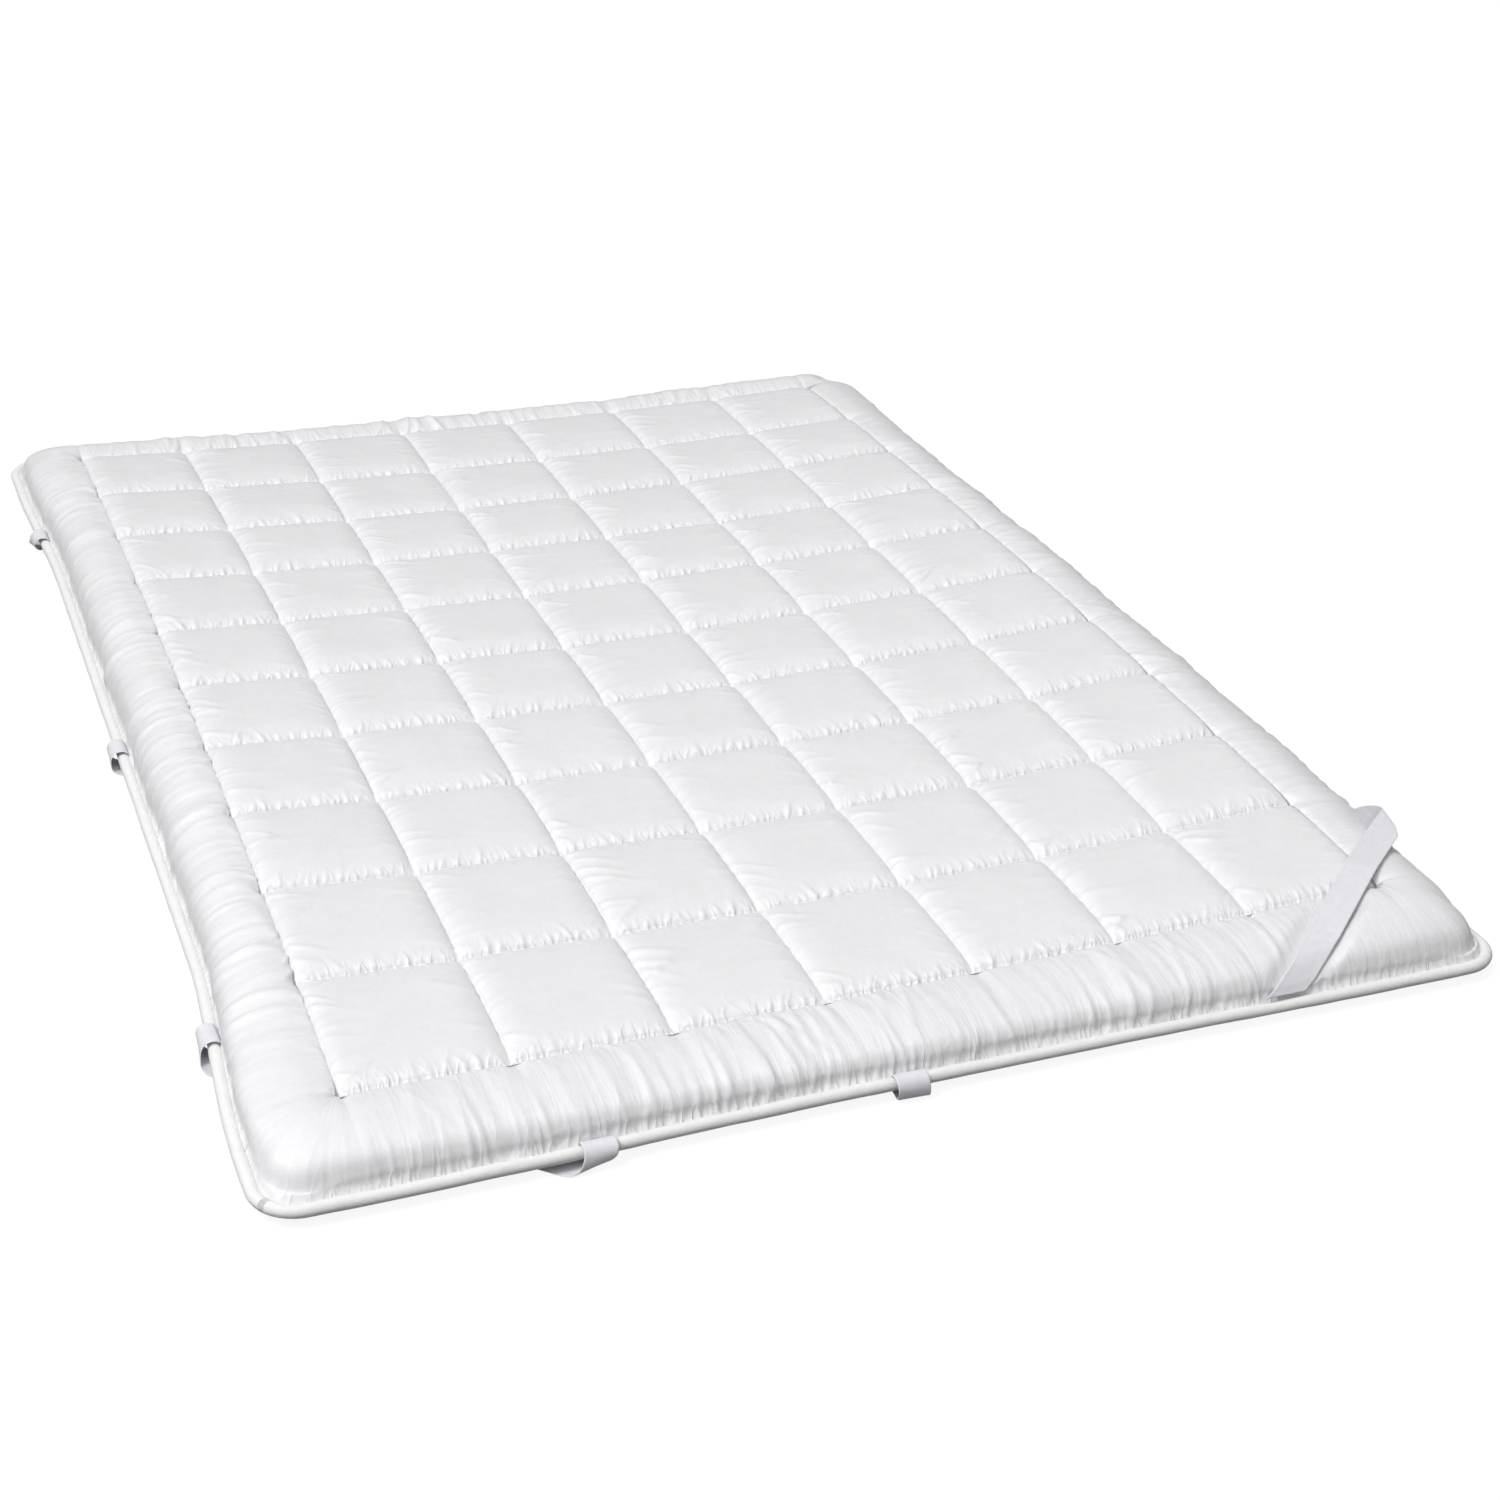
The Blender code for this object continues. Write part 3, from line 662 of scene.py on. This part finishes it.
# %% Where the tapes leave the edge
STRAP_X, STRAP_Y = 0.390, 0.685
FOOT_LEFT_SHIFT = 0.010  # that strap's root is sewn a little nearer to the middle
#        piece              side     along
TAPES = {
    "loop_left": ("left", -0.020),
    "loop_right": ("right", 0.020),
    "loop_foot": ("foot", -0.042),
    "loop_head": ("head", 0.042),
    "strap_foot_left": (("foot", FOOT_LEFT_SHIFT - STRAP_X), ("left", -STRAP_Y)),
    "strap_head_left": (("head", -STRAP_X), ("left", STRAP_Y)),
    "strap_head_right": (("head", STRAP_X), ("right", STRAP_Y)),
}


# %% The outline and the piping
PIPING_RADIUS, PIPING_HEIGHT = 0.0069, 0.0168


def outline(steps=7):
    """The piping's centre line, once round: the rim of the layout, resampled evenly."""
    rim_at = lay_out([a[::2] for a in ACROSS], [b[::2] for b in ALONG])
    side, end = reaches(rim_at)
    x, y = border_plan(rim_at, side, end, CORNER_RADIUS + 0 * side)
    loop = rim_loop(np.stack([x, y], -1))
    loop = np.concatenate([loop, loop[:1]])
    run = np.concatenate([[0], np.cumsum(np.linalg.norm(np.diff(loop, axis=0), axis=1))])
    even = np.linspace(0, run[-1], int(run[-1] / (steps / 1000)), endpoint=False)
    return np.stack([np.interp(even, run, loop[:, k]) for k in (0, 1)], -1), even


def tape_press(line):
    """1 where a tape wraps the piping, fading to 0 within a few centimetres."""
    roots = []
    for where in TAPES.values():
        roots += [where] if isinstance(where[0], str) else list(where)
    roots += [("foot", STRAP_X), ("right", -STRAP_Y)]
    press = np.zeros(len(line))
    for side, along in roots:
        along_axis, across_axis = (1, 0) if side in ("left", "right") else (0, 1)
        sign = -1 if side in ("left", "foot") else 1
        on_side = line[:, across_axis] * sign > 0.6 * (1 if across_axis == 0 else 1.5)
        press += on_side * np.exp(-(((line[:, along_axis] - along) / 0.022) ** 2))
    return np.clip(press, 0, 1)


def make_piping():
    """A circle of slightly changing radius carried along the outline, closed on itself."""
    line, run = outline()
    total, sides = run[-1] + run[1], 18
    waves = round(total / 0.055)
    wobble = soft_noise(run / total * waves, 0 * run + 0.4, 31, period=waves)
    lumps = soft_noise(run / total * waves * 2, 0 * run + 3.3, 32, period=waves * 2)
    press = tape_press(line)
    radius = PIPING_RADIUS * (1 + 0.05 * wobble + 0.04 * lumps - 0.10 * press)
    height = PIPING_HEIGHT + 0.0008 * wobble - 0.0006 * press
    way = np.roll(line, -1, 0) - np.roll(line, 1, 0)
    way /= np.linalg.norm(way, axis=1, keepdims=True)
    out = np.stack([way[:, 1], -way[:, 0]], -1)
    angle = 2 * np.pi * np.arange(sides) / sides
    flat = line[:, None] + out[:, None] * (radius[:, None] * np.cos(angle))[..., None]
    tall = height[:, None] + radius[:, None] * np.sin(angle)
    points = np.concatenate([flat, tall[..., None]], -1)
    index = np.arange(len(line) * sides).reshape(len(line), sides)
    ahead, up = np.roll(index, -1, 0), np.roll(index, -1, 1)
    quads = np.stack([index, ahead, np.roll(ahead, -1, 1), up], -1).reshape(-1, 4)
    made = mesh_object("piping_cord", points.reshape(-1, 3) + LAYOUT, quads)
    uv = np.stack([np.repeat(run, sides), np.tile(angle * PIPING_RADIUS, len(line))], -1)
    add_uv(made, uv)
    return made


piping = make_piping()
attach(piping, "root")
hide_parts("piping")

# %% [markdown]
# ## Elastic tape
# The straps and loops are woven elastic: a flat band with ribs along it and a firm edge. Each is
# a thin rounded section carried along a path. The path comes out of the seam over the piping,
# wraps round its outside and runs back beneath, where a corner strap crosses to the other side.

# %% A band along a path
TAPE_WIDTH, TAPE_THICKNESS = 0.036, 0.0012
TAPE_FLOOR = 0.0003 + TAPE_THICKNESS / 2
#        out      height   slip along the edge, towards where the tape goes
WRAP = np.array([
    (-0.0060, 0.0232, 0.000),
    (-0.0025, 0.0262, 0.000),
    (0.0035, 0.0275, 0.000),
    (0.0105, 0.0253, 0.000),
    (0.0148, 0.0190, 0.001),
    (0.0150, 0.0115, 0.004),
    (0.0125, 0.0050, 0.010),
    (0.0060, 0.0018, 0.019),
    (-0.0030, TAPE_FLOOR, 0.029),
])


def smooth_path(values, fine=0.0035):
    """A cubic curve through every station, read about every few millimetres."""
    length = np.linalg.norm(np.diff(values[:, :3], axis=0), axis=1)
    counts = np.maximum(1, np.round(length / fine).astype(int))
    place = np.concatenate([k + np.arange(n) / n for k, n in enumerate(counts)] + [[len(length)]])
    return through(list(values[:, None, :]), place[:, None])


def make_band(name, centres, crosses, width=TAPE_WIDTH):
    """A flat section with thicker, rounded edges carried along a path, with closed ends."""
    path = smooth_path(np.concatenate([centres, crosses], 1))
    centre, cross = path[:, :3], path[:, 3:]
    way = np.gradient(centre, axis=0)
    up = np.cross(way, cross)
    up /= np.linalg.norm(up, axis=1, keepdims=True)
    across = np.array([-0.5, -0.485, -0.45, -0.43, -0.25, 0, 0.25, 0.43, 0.45, 0.485, 0.5])
    half = np.array([0.15, 0.42, 0.56, 0.47, 0.46, 0.46, 0.46, 0.47, 0.56, 0.42, 0.15])
    section_x = np.concatenate([across, across[::-1]])
    section_z = np.concatenate([half, -half[::-1]]) * TAPE_THICKNESS
    points = (centre[:, None] + cross[:, None] * width * section_x[None, :, None]
              + up[:, None] * section_z[None, :, None])
    n, m = len(centre), len(section_x)
    index = np.arange(n * m).reshape(n, m)
    turned = np.roll(index, -1, 1)
    quads = np.stack([index[:-1], turned[:-1], turned[1:], index[1:]], -1).reshape(-1, 4)
    # The ends are closed by quads across the section, from its top to its bottom.
    top, bottom = np.arange(len(across)), m - 1 - np.arange(len(across))
    cap = np.stack([top[:-1], bottom[:-1], bottom[1:], top[1:]], -1)
    quads = np.concatenate([quads, cap, (cap + (n - 1) * m)[:, ::-1]])
    made = mesh_object(name, points.reshape(-1, 3) + LAYOUT, quads)
    run = np.concatenate([[0], np.cumsum(np.linalg.norm(np.diff(centre, axis=0), axis=1))])
    add_uv(made, np.stack([np.repeat(run, m), np.tile(section_x * width, n)], -1))
    return made, run[-1]


def edge_frame(side, along):
    """The piping's centre at a place on one side, the way out and the way along the edge."""
    if side in ("left", "right"):
        sign = -1 if side == "left" else 1
        reach = float(side_reach(np.array(sign), np.array(along)))
        return np.array([sign * reach, along, 0]), np.array([sign, 0, 0]), np.array([0, 1, 0])
    sign = -1 if side == "foot" else 1
    reach = float(end_reach(np.array(sign), np.array(along)))
    return np.array([along, sign * reach, 0]), np.array([0, sign, 0]), np.array([1, 0, 0])


def wrap_path(side, along, slip):
    """Stations of a tape round the piping, and its cross direction, which turns as it slips."""
    centre, out, lengthwise = edge_frame(side, along)
    stops = centre + WRAP[:, :1] * out + WRAP[:, 1:2] * np.array([0, 0, 1])
    stops = stops + slip * WRAP[:, 2:] * lengthwise
    turn = np.clip(WRAP[:, 2:] / 0.029, 0, 1) * slip
    cross = lengthwise + 0.95 * turn * out
    return stops, cross / np.linalg.norm(cross, axis=1, keepdims=True)


# %% Finish a band
def finish_band(made, node):
    """Rides with the root and replaces its solid."""
    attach(made, "root")
    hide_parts(node)


bands = []
LOOP_SLIP = {"loop_left": -0.45, "loop_right": -0.45, "loop_foot": 0.15, "loop_head": 0.15}
for node, slip in LOOP_SLIP.items():
    stops, crosses = wrap_path(*TAPES[node], slip)
    inward = -edge_frame(*TAPES[node])[1]
    tail = stops[-1] + np.array([0.012, 0.024, 0.036])[:, None] * inward
    made, length = make_band(node + "_tape", np.concatenate([stops, tail]),
                             np.concatenate([crosses, np.tile(crosses[-1], (3, 1))]))
    finish_band(made, node)
    bands.append(made)


# %% Straps beneath three corners
def corner_strap(node, end_place, side_place):
    """Round the piping, across beneath the corner, and round the piping of the other side."""
    first, first_cross = wrap_path(*end_place, np.sign(end_place[1]))
    last, last_cross = wrap_path(*side_place, np.sign(side_place[1]))
    last, last_cross = last[::-1], last_cross[::-1]
    run = (last[0] - first[-1]) / np.linalg.norm(last[0] - first[-1])
    square = np.array([-run[1], run[0], 0])
    first_cross = first_cross * (1 if first_cross[-1] @ square > 0 else -1)
    last_cross = last_cross * (1 if last_cross[0] @ square > 0 else -1)
    shares = (0.08, 0.3, 0.5, 0.7, 0.92)
    middle = [first[-1] + (last[0] - first[-1]) * share for share in shares]
    made, length = make_band(node + "_tape", np.concatenate([first, middle, last]),
                             np.concatenate([first_cross, [square] * len(shares), last_cross]))
    finish_band(made, node)
    bands.append(made)


for node, where in TAPES.items():
    if not isinstance(where[0], str):
        corner_strap(node, *where)

# %% [markdown]
# ## The strap turned up over the corner
# One corner strap lies on top. It leaves the side seam, goes up the border's face to a fold and
# runs to its other root in the foot seam, pulled straight over whatever is highest beneath it.
# A string pulled tight over points touches only their upper hull, so its heights are that hull
# of the pad's own surface, measured straight down through the finished mesh.

# %% The turned strap
#    x        y        z       cross x  cross y, in tape widths
TURNED_RETURN = (
    (0.6790, -0.6900, 0.0252, 0.00, 1.30),
    (0.6920, -0.6980, 0.0400, 0.00, 1.30),
    (0.6945, -0.7140, 0.0550, 0.06, 1.30),
    (0.6925, -0.7340, 0.0675, 0.15, 1.29),
    (0.6880, -0.7520, 0.0765, 0.27, 1.25),
)
FOLD_HEIGHT = 0.0795
#    x        y      cross x  cross y
TURNED_TOP = np.array([
    (0.6830, -0.7640, 0.33, 1.30),
    (0.6560, -0.7905, -0.67, 0.74),
    (0.5750, -0.8590, -0.67, 0.74),
    (0.5100, -0.9146, -0.67, 0.74),
    (0.4760, -0.9437, -1.00, 0.40),
    (0.4480, -0.9655, -1.28, 0.05),
    (0.4240, -0.9800, -1.36, 0.00),
    (0.4080, -0.9868, -1.36, 0.00),
])


def upper_hull(points):
    """The points that a string pulled tight over (distance, height) points would touch."""
    hull = []
    for k, (distance, height) in enumerate(points):
        while len(hull) > 1:
            (a, low, _), (b, middle, _) = hull[-2:]
            if (middle - low) * (distance - a) > (height - low) * (b - a):
                break
            hull.pop()
        hull.append((distance, height, k))
    return hull


def turned_strap(surface):
    """Stations over the pad every 6 mm, kept only where they touch the hull."""
    run = np.concatenate([[0], np.cumsum(np.linalg.norm(np.diff(TURNED_TOP[:, :2], axis=0), axis=1))])
    places = np.linspace(0, run[-1], 70)
    route = np.stack([np.interp(places, run, TURNED_TOP[:, k]) for k in range(4)], -1)
    heights = []
    for x, y, cx, cy in route:
        beside = [np.array((x + cx * TAPE_WIDTH * s, y + cy * TAPE_WIDTH * s)) + LAYOUT[:2]
                  for s in (-0.5, -0.25, 0, 0.25, 0.5)]
        hits = [surface.ray_cast(Vector((*p, 1)), Vector((0, 0, -1)))[0] for p in beside]
        heights.append(max(hit.z if hit else 0 for hit in hits) + 0.0015 + TAPE_THICKNESS / 2)
    heights[0], heights[-1] = max(FOLD_HEIGHT, heights[0]), 0.0275
    kept = upper_hull(list(zip(places, heights)))
    tight = np.interp(places, [distance for distance, _, _ in kept], [height for _, height, _ in kept])
    top = np.stack([route[:, 0], route[:, 1], tight, route[:, 2], route[:, 3]], -1)
    stops = np.concatenate([np.array(TURNED_RETURN), top])
    crosses = np.concatenate([stops[:, 3:], np.zeros((len(stops), 1))], 1)
    return make_band("strap_turned_tape", stops[:, :3], crosses)


bpy.context.view_layer.update()
surface = BVHTree.FromObject(pad, bpy.context.evaluated_depsgraph_get())
turned, length = turned_strap(surface)
finish_band(turned, "strap_foot_right")
bands.append(turned)

# %% [markdown]
# ## Cloth finishes
# The quilt's cloth is a fine white satin: a weave too small to see as threads, with a soft sheen,
# tiny creases, and fine gathers at its seams. The piping is a plainer, warmer weave cut on the
# bias, and the tape is ribbed along its length. Woven relief, creases and gathers are one node
# group each, and a material takes the groups that it needs with its own values.

# %% Helpers for shader nodes
def plug(tree, made, inputs):
    """Sets inputs by name or number: a socket is linked, and anything else becomes the value."""
    for name, value in inputs.items():
        if isinstance(value, bpy.types.NodeSocket):
            tree.links.new(value, made.inputs[name])
        else:
            made.inputs[name].default_value = value
    return made


def node(tree, kind, inputs=None):
    """A new node with its inputs plugged."""
    return plug(tree, tree.nodes.new(kind), inputs or {})


def math_node(tree, operation, a, b=None):
    """A math node on one or two sockets or numbers; returns its output."""
    made = node(tree, "ShaderNodeMath", {0: a} if b is None else {0: a, 1: b})
    made.operation = operation
    return made.outputs[0]


def new_group(name, inputs, outputs):
    """A shader node group with named sockets (a vector where there is no number), and its ends."""
    group = bpy.data.node_groups.new(name, "ShaderNodeTree")
    for socket, value in inputs.items():
        kind = "NodeSocketVector" if value is None else "NodeSocketFloat"
        made = group.interface.new_socket(socket, in_out="INPUT", socket_type=kind)
        if value is not None:
            made.default_value = value
    for socket in outputs:
        group.interface.new_socket(socket, in_out="OUTPUT", socket_type="NodeSocketFloat")
    return group, group.nodes.new("NodeGroupInput"), group.nodes.new("NodeGroupOutput")


# %% Woven relief
def weave_group():
    """Threads over and under: sin(x / pitch) and sin(y / pitch), each showing where it is higher."""
    group, source, result = new_group(
        "WovenRelief", {"Vector": None, "Threads per metre": 1800.0, "Rib": 0.0}, ["Height"])
    parts = node(group, "ShaderNodeSeparateXYZ", {0: source.outputs["Vector"]})
    rib = source.outputs["Rib"]
    turn = math_node(group, "MULTIPLY", source.outputs["Threads per metre"], 2 * math.pi)
    warp, weft = [math_node(group, "SINE", math_node(group, "MULTIPLY", parts.outputs[axis], turn))
                  for axis in ("X", "Y")]
    woven = math_node(group, "MAXIMUM", warp, math_node(group, "MULTIPLY", weft, -1.0))
    ribs = math_node(group, "MULTIPLY", weft, rib)
    plain = math_node(group, "MULTIPLY", woven, math_node(group, "SUBTRACT", 1.0, rib))
    plug(group, result, {"Height": math_node(group, "ADD", ribs, plain)})
    return group


# %% Small creases
def crease_group():
    """Small soft creases: two sizes of noise added, and a mask, low in the crease hollows, that the cloths
    use for painted shade and for roughness.
    """
    group, source, result = new_group(
        "SmallCreases", {"Vector": None, "Size": 60.0}, ["Height", "Mask"])
    noises = []
    for scale, detail in ((1.0, 3.0), (3.1, 2.0)):
        size = math_node(group, "MULTIPLY", source.outputs["Size"], scale)
        noises.append(node(group, "ShaderNodeTexNoise", {
            "Vector": source.outputs["Vector"], "Scale": size, "Detail": detail, "Distortion": 0.6,
        }).outputs["Fac"])
    both = math_node(group, "ADD", noises[0], math_node(group, "MULTIPLY", noises[1], 0.35))
    plug(group, result, {"Height": both, "Mask": noises[0]})
    return group


# %% Gathers at a seam
def gather_group():
    """Fine gathers: noise stretched away from the seam, sharpened, times exp(-v / reach).

    Vector holds (place along the seam, distance from it) in metres.
    """
    group, source, result = new_group(
        "SeamGathers", {"Vector": None, "Spacing": 0.010, "Reach": 0.020}, ["Height"])
    parts = node(group, "ShaderNodeSeparateXYZ", {0: source.outputs["Vector"]})
    along = math_node(group, "DIVIDE", parts.outputs["X"], source.outputs["Spacing"])
    away = math_node(group, "DIVIDE", parts.outputs["Y"], source.outputs["Reach"])
    half = math_node(group, "MULTIPLY", away, 0.5)
    stretched = node(group, "ShaderNodeCombineXYZ", {"X": along, "Y": half}).outputs["Vector"]
    noise = node(group, "ShaderNodeTexNoise", {
        "Vector": stretched, "Scale": 1.0, "Detail": 0.5, "Distortion": 0.2,
    }).outputs["Fac"]
    middle = math_node(group, "ABSOLUTE", math_node(group, "SUBTRACT", noise, 0.5))
    slope = math_node(group, "MULTIPLY", middle, 3.0)
    ridge = math_node(group, "POWER", math_node(group, "SUBTRACT", 1.0, slope), 3.0)
    fall = math_node(group, "EXPONENT", math_node(group, "MULTIPLY", away, -1.0))
    plug(group, result, {"Height": math_node(group, "MULTIPLY", ridge, fall)})
    return group


weave, creases, seam_gathers = weave_group(), crease_group(), gather_group()
print("node groups:", weave.name, creases.name, seam_gathers.name)


# %% A cloth material from the groups
def use_group(tree, group, inputs):
    """A node group placed in a material with its own values; returns its outputs."""
    made = tree.nodes.new("ShaderNodeGroup")
    made.node_tree = group
    return plug(tree, made, inputs).outputs


def relief(tree, height, depth, below=None):
    """The normal of a Bump over an earlier normal, if there is one."""
    bump = node(tree, "ShaderNodeBump", {"Distance": depth, "Height": height})
    return plug(tree, bump, {"Normal": below} if below else {}).outputs["Normal"]


def map_of(tree, uv):
    """The place of each point: Object coordinates, or a UV map by name."""
    place = tree.nodes.new("ShaderNodeUVMap" if uv else "ShaderNodeTexCoord")
    if uv:
        place.uv_map = uv
    return place.outputs["UV" if uv else "Object"]


def cloth(name, shaded_and_lit_colours, roughness, threads, rib, thread_depth, crease_size, crease_depth, sheen,
          uv=None, gloss=0.35):
    """Principled cloth: its colour is painted darker in the crease hollows as shade, roughness follows the
    same mask, and both reliefs go to Bump.
    """
    made = bpy.data.materials.new(name)
    made.use_nodes = True
    tree = made.node_tree
    place = map_of(tree, uv)
    woven = use_group(tree, weave, {"Vector": place, "Threads per metre": threads, "Rib": rib})
    creased = use_group(tree, creases, {"Vector": place, "Size": crease_size})
    # Painted shade: the first colour is laid in the crease hollows and the second on the crests.
    crease_shade_ramp = node(tree, "ShaderNodeValToRGB", {"Fac": creased["Mask"]})
    for element, position, colour in zip(crease_shade_ramp.color_ramp.elements, (0.35, 0.65), shaded_and_lit_colours):
        element.position, element.color = position, (*colour, 1)
    rough = node(tree, "ShaderNodeMapRange", {
        "Value": creased["Mask"], "To Min": roughness[0], "To Max": roughness[1],
    })
    fine = relief(tree, woven["Height"], thread_depth)
    plug(tree, tree.nodes["Principled BSDF"], {
        "Base Color": crease_shade_ramp.outputs["Color"],
        "Roughness": rough.outputs["Result"],
        "Normal": relief(tree, creased["Height"], crease_depth, fine),
        "Sheen Weight": sheen,
        "Sheen Roughness": 0.45,
        "Specular IOR Level": gloss,
    })
    return made


def add_seam_gathers(made, spacing, reach, depth):
    """One more Bump in front of a cloth's own, from the pad's seam map."""
    tree = made.node_tree
    shader = tree.nodes["Principled BSDF"]
    gathered = use_group(tree, seam_gathers, {
        "Vector": map_of(tree, "seam"), "Spacing": spacing, "Reach": reach,
    })
    below = shader.inputs["Normal"].links[0].from_socket
    plug(tree, shader, {"Normal": relief(tree, gathered["Height"], depth, below)})


def dress(made, finish):
    """Gives a piece one finish."""
    made.data.materials.clear()
    made.data.materials.append(finish)


# %% The four finishes
# In each pair of colours the darker first one is painted shade for the crease hollows, the second the
# cloth's colour on the crests.
satin = cloth("satin_cotton", ((0.80, 0.80, 0.815), (0.82, 0.82, 0.835)), (0.36, 0.46), 2400, 0.0,
              0.00003, 70, 0.0004, 0.15, gloss=0.80)
add_seam_gathers(satin, 0.0100, 0.0080, 0.0013)
binding = cloth("bias_binding", ((0.84, 0.838, 0.83), (0.87, 0.868, 0.86)), (0.42, 0.55), 1400, 0.0,
                0.00006, 90, 0.0006, 0.15, uv="cloth")
elastic = cloth("ribbed_elastic", ((0.72, 0.715, 0.76), (0.76, 0.755, 0.80)), (0.60, 0.75), 900, 0.8,
                0.00010, 120, 0.0002, 0.20, uv="cloth")
thread = cloth("sewing_thread", ((0.82, 0.82, 0.83), (0.86, 0.86, 0.87)), (0.45, 0.60), 3000, 0.0,
               0.00002, 300, 0.0001, 0.10)
for made, finish in [(pad, satin), (piping, binding), (stitches, thread)]:
    dress(made, finish)
for band in bands:
    dress(band, elastic)
print("dressed", 3 + len(bands), "pieces")

# %% [markdown]
# ## Floor, light and camera
# The topper lies on a plain white floor. A distant soft lamp shines from high on the left and
# leaves the foot end's face in grey, and a large square lamp at the near left brightens the near
# corner. Light also comes from all round, most from overhead. The floor and the surroundings are
# white to the camera and dimmer to all other rays, so that the background stays plain and the
# shadows faint without washing out the cloth.

# %% Floor
def split_by_camera(tree, output, unseen, seen):
    """Shows one shader to the camera's own rays and another to all the rest."""
    camera_ray = tree.nodes.new("ShaderNodeLightPath").outputs["Is Camera Ray"]
    mix = node(tree, "ShaderNodeMixShader", {0: camera_ray, 1: unseen, 2: seen})
    plug(tree, tree.nodes[output], {"Surface": mix.outputs["Shader"]})


def make_floor():
    """A white sweep: bright where it is seen, and a mid grey for the light that it sends back."""
    half = 30.0
    corners = np.array([(-half, -half, 0), (half, -half, 0), (half, half, 0), (-half, half, 0)])
    floor = mesh_object("floor", corners - [0, 0, 0.0004], np.array([[0, 1, 2, 3]]))
    finish = bpy.data.materials.new("floor_white")
    finish.use_nodes = True
    tree = finish.node_tree
    bright = plug(tree, tree.nodes["Principled BSDF"], {
        "Base Color": (0.13, 0.13, 0.13, 1),
        "Roughness": 0.9,
        "Specular IOR Level": 0.0,
        "Emission Color": (1, 1, 1, 1),
        "Emission Strength": 0.90,
    })
    dim = node(tree, "ShaderNodeBsdfDiffuse", {"Color": (0.22, 0.22, 0.22, 1)})
    split_by_camera(tree, "Material Output", dim.outputs["BSDF"], bright.outputs["BSDF"])
    dress(floor, finish)
    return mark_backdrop(floor)


make_floor()

# %% Light
def sun(name, azimuth, elevation, strength, softness):
    """A distant soft lamp that shines from an azimuth (0 is +X, 90 is +Y) and an elevation."""
    data = bpy.data.lights.new(name, "SUN")
    data.energy, data.angle = strength, math.radians(softness)
    lamp = bpy.data.objects.new(name, data)
    bpy.context.scene.collection.objects.link(lamp)
    az, el = math.radians(azimuth), math.radians(elevation)
    towards = Vector((math.cos(az) * math.cos(el), math.sin(az) * math.cos(el), math.sin(el)))
    lamp.rotation_euler = towards.to_track_quat("Z", "Y").to_euler()


def area(name, place, size, watts):
    """A square light that faces the topper's middle; what is nearer to it is brighter."""
    light = bpy.data.lights.new(name, "AREA")
    light.shape, light.size, light.energy = "SQUARE", size, watts
    made = bpy.data.objects.new(name, light)
    made.location = place
    made.rotation_euler = (Vector((0, 0, 0)) - Vector(place)).to_track_quat("-Z", "Y").to_euler()
    bpy.context.scene.collection.objects.link(made)


sun("key", 184, 58, 1.66, 20)
area("near_left", (-2.0, -1.6, 3.0), 3.2, 39)


def studio_world():
    """Light from all round, dim at the horizon and bright overhead: low + rise * height."""
    world = bpy.data.worlds.new("studio")
    world.use_nodes = True
    tree, white = world.node_tree, (1, 1, 1, 1)
    way = tree.nodes.new("ShaderNodeTexCoord").outputs["Generated"]
    height = node(tree, "ShaderNodeSeparateXYZ", {0: way}).outputs["Z"]
    strength = node(tree, "ShaderNodeMapRange", {"Value": height, "To Min": 0.19, "To Max": 0.62})
    lit = plug(tree, tree.nodes["Background"], {
        "Color": white, "Strength": strength.outputs["Result"],
    })
    seen = node(tree, "ShaderNodeBackground", {"Color": white})
    split_by_camera(tree, "World Output", lit.outputs["Background"], seen.outputs["Background"])
    bpy.context.scene.world = world


studio_world()
bpy.context.scene.view_settings.view_transform = "Standard"

# %% Camera
CAMERA_PLACE = Vector((-1.0235, -2.9129, 1.5336))
CAMERA_AIM = Vector((0.0554, -0.3155, 0.0500))
CAMERA_ROLL = 2.13


def make_camera():
    """Looks from its place to its aim, turned about that line by the roll."""
    data = bpy.data.cameras.new("camera")
    data.lens, data.sensor_width, data.clip_end = 61.08, 36.0, 100.0
    camera = bpy.data.objects.new("camera", data)
    bpy.context.scene.collection.objects.link(camera)
    facing = (CAMERA_AIM - CAMERA_PLACE).to_track_quat("-Z", "Y").to_matrix().to_4x4()
    roll = Matrix.Rotation(math.radians(CAMERA_ROLL), 4, "Z")
    camera.matrix_world = Matrix.Translation(CAMERA_PLACE) @ facing @ roll
    bpy.context.scene.camera = camera


make_camera()

# %% Box corners as plain numbers
def plain(box):
    return [[float(v) for v in corner] for corner in box]
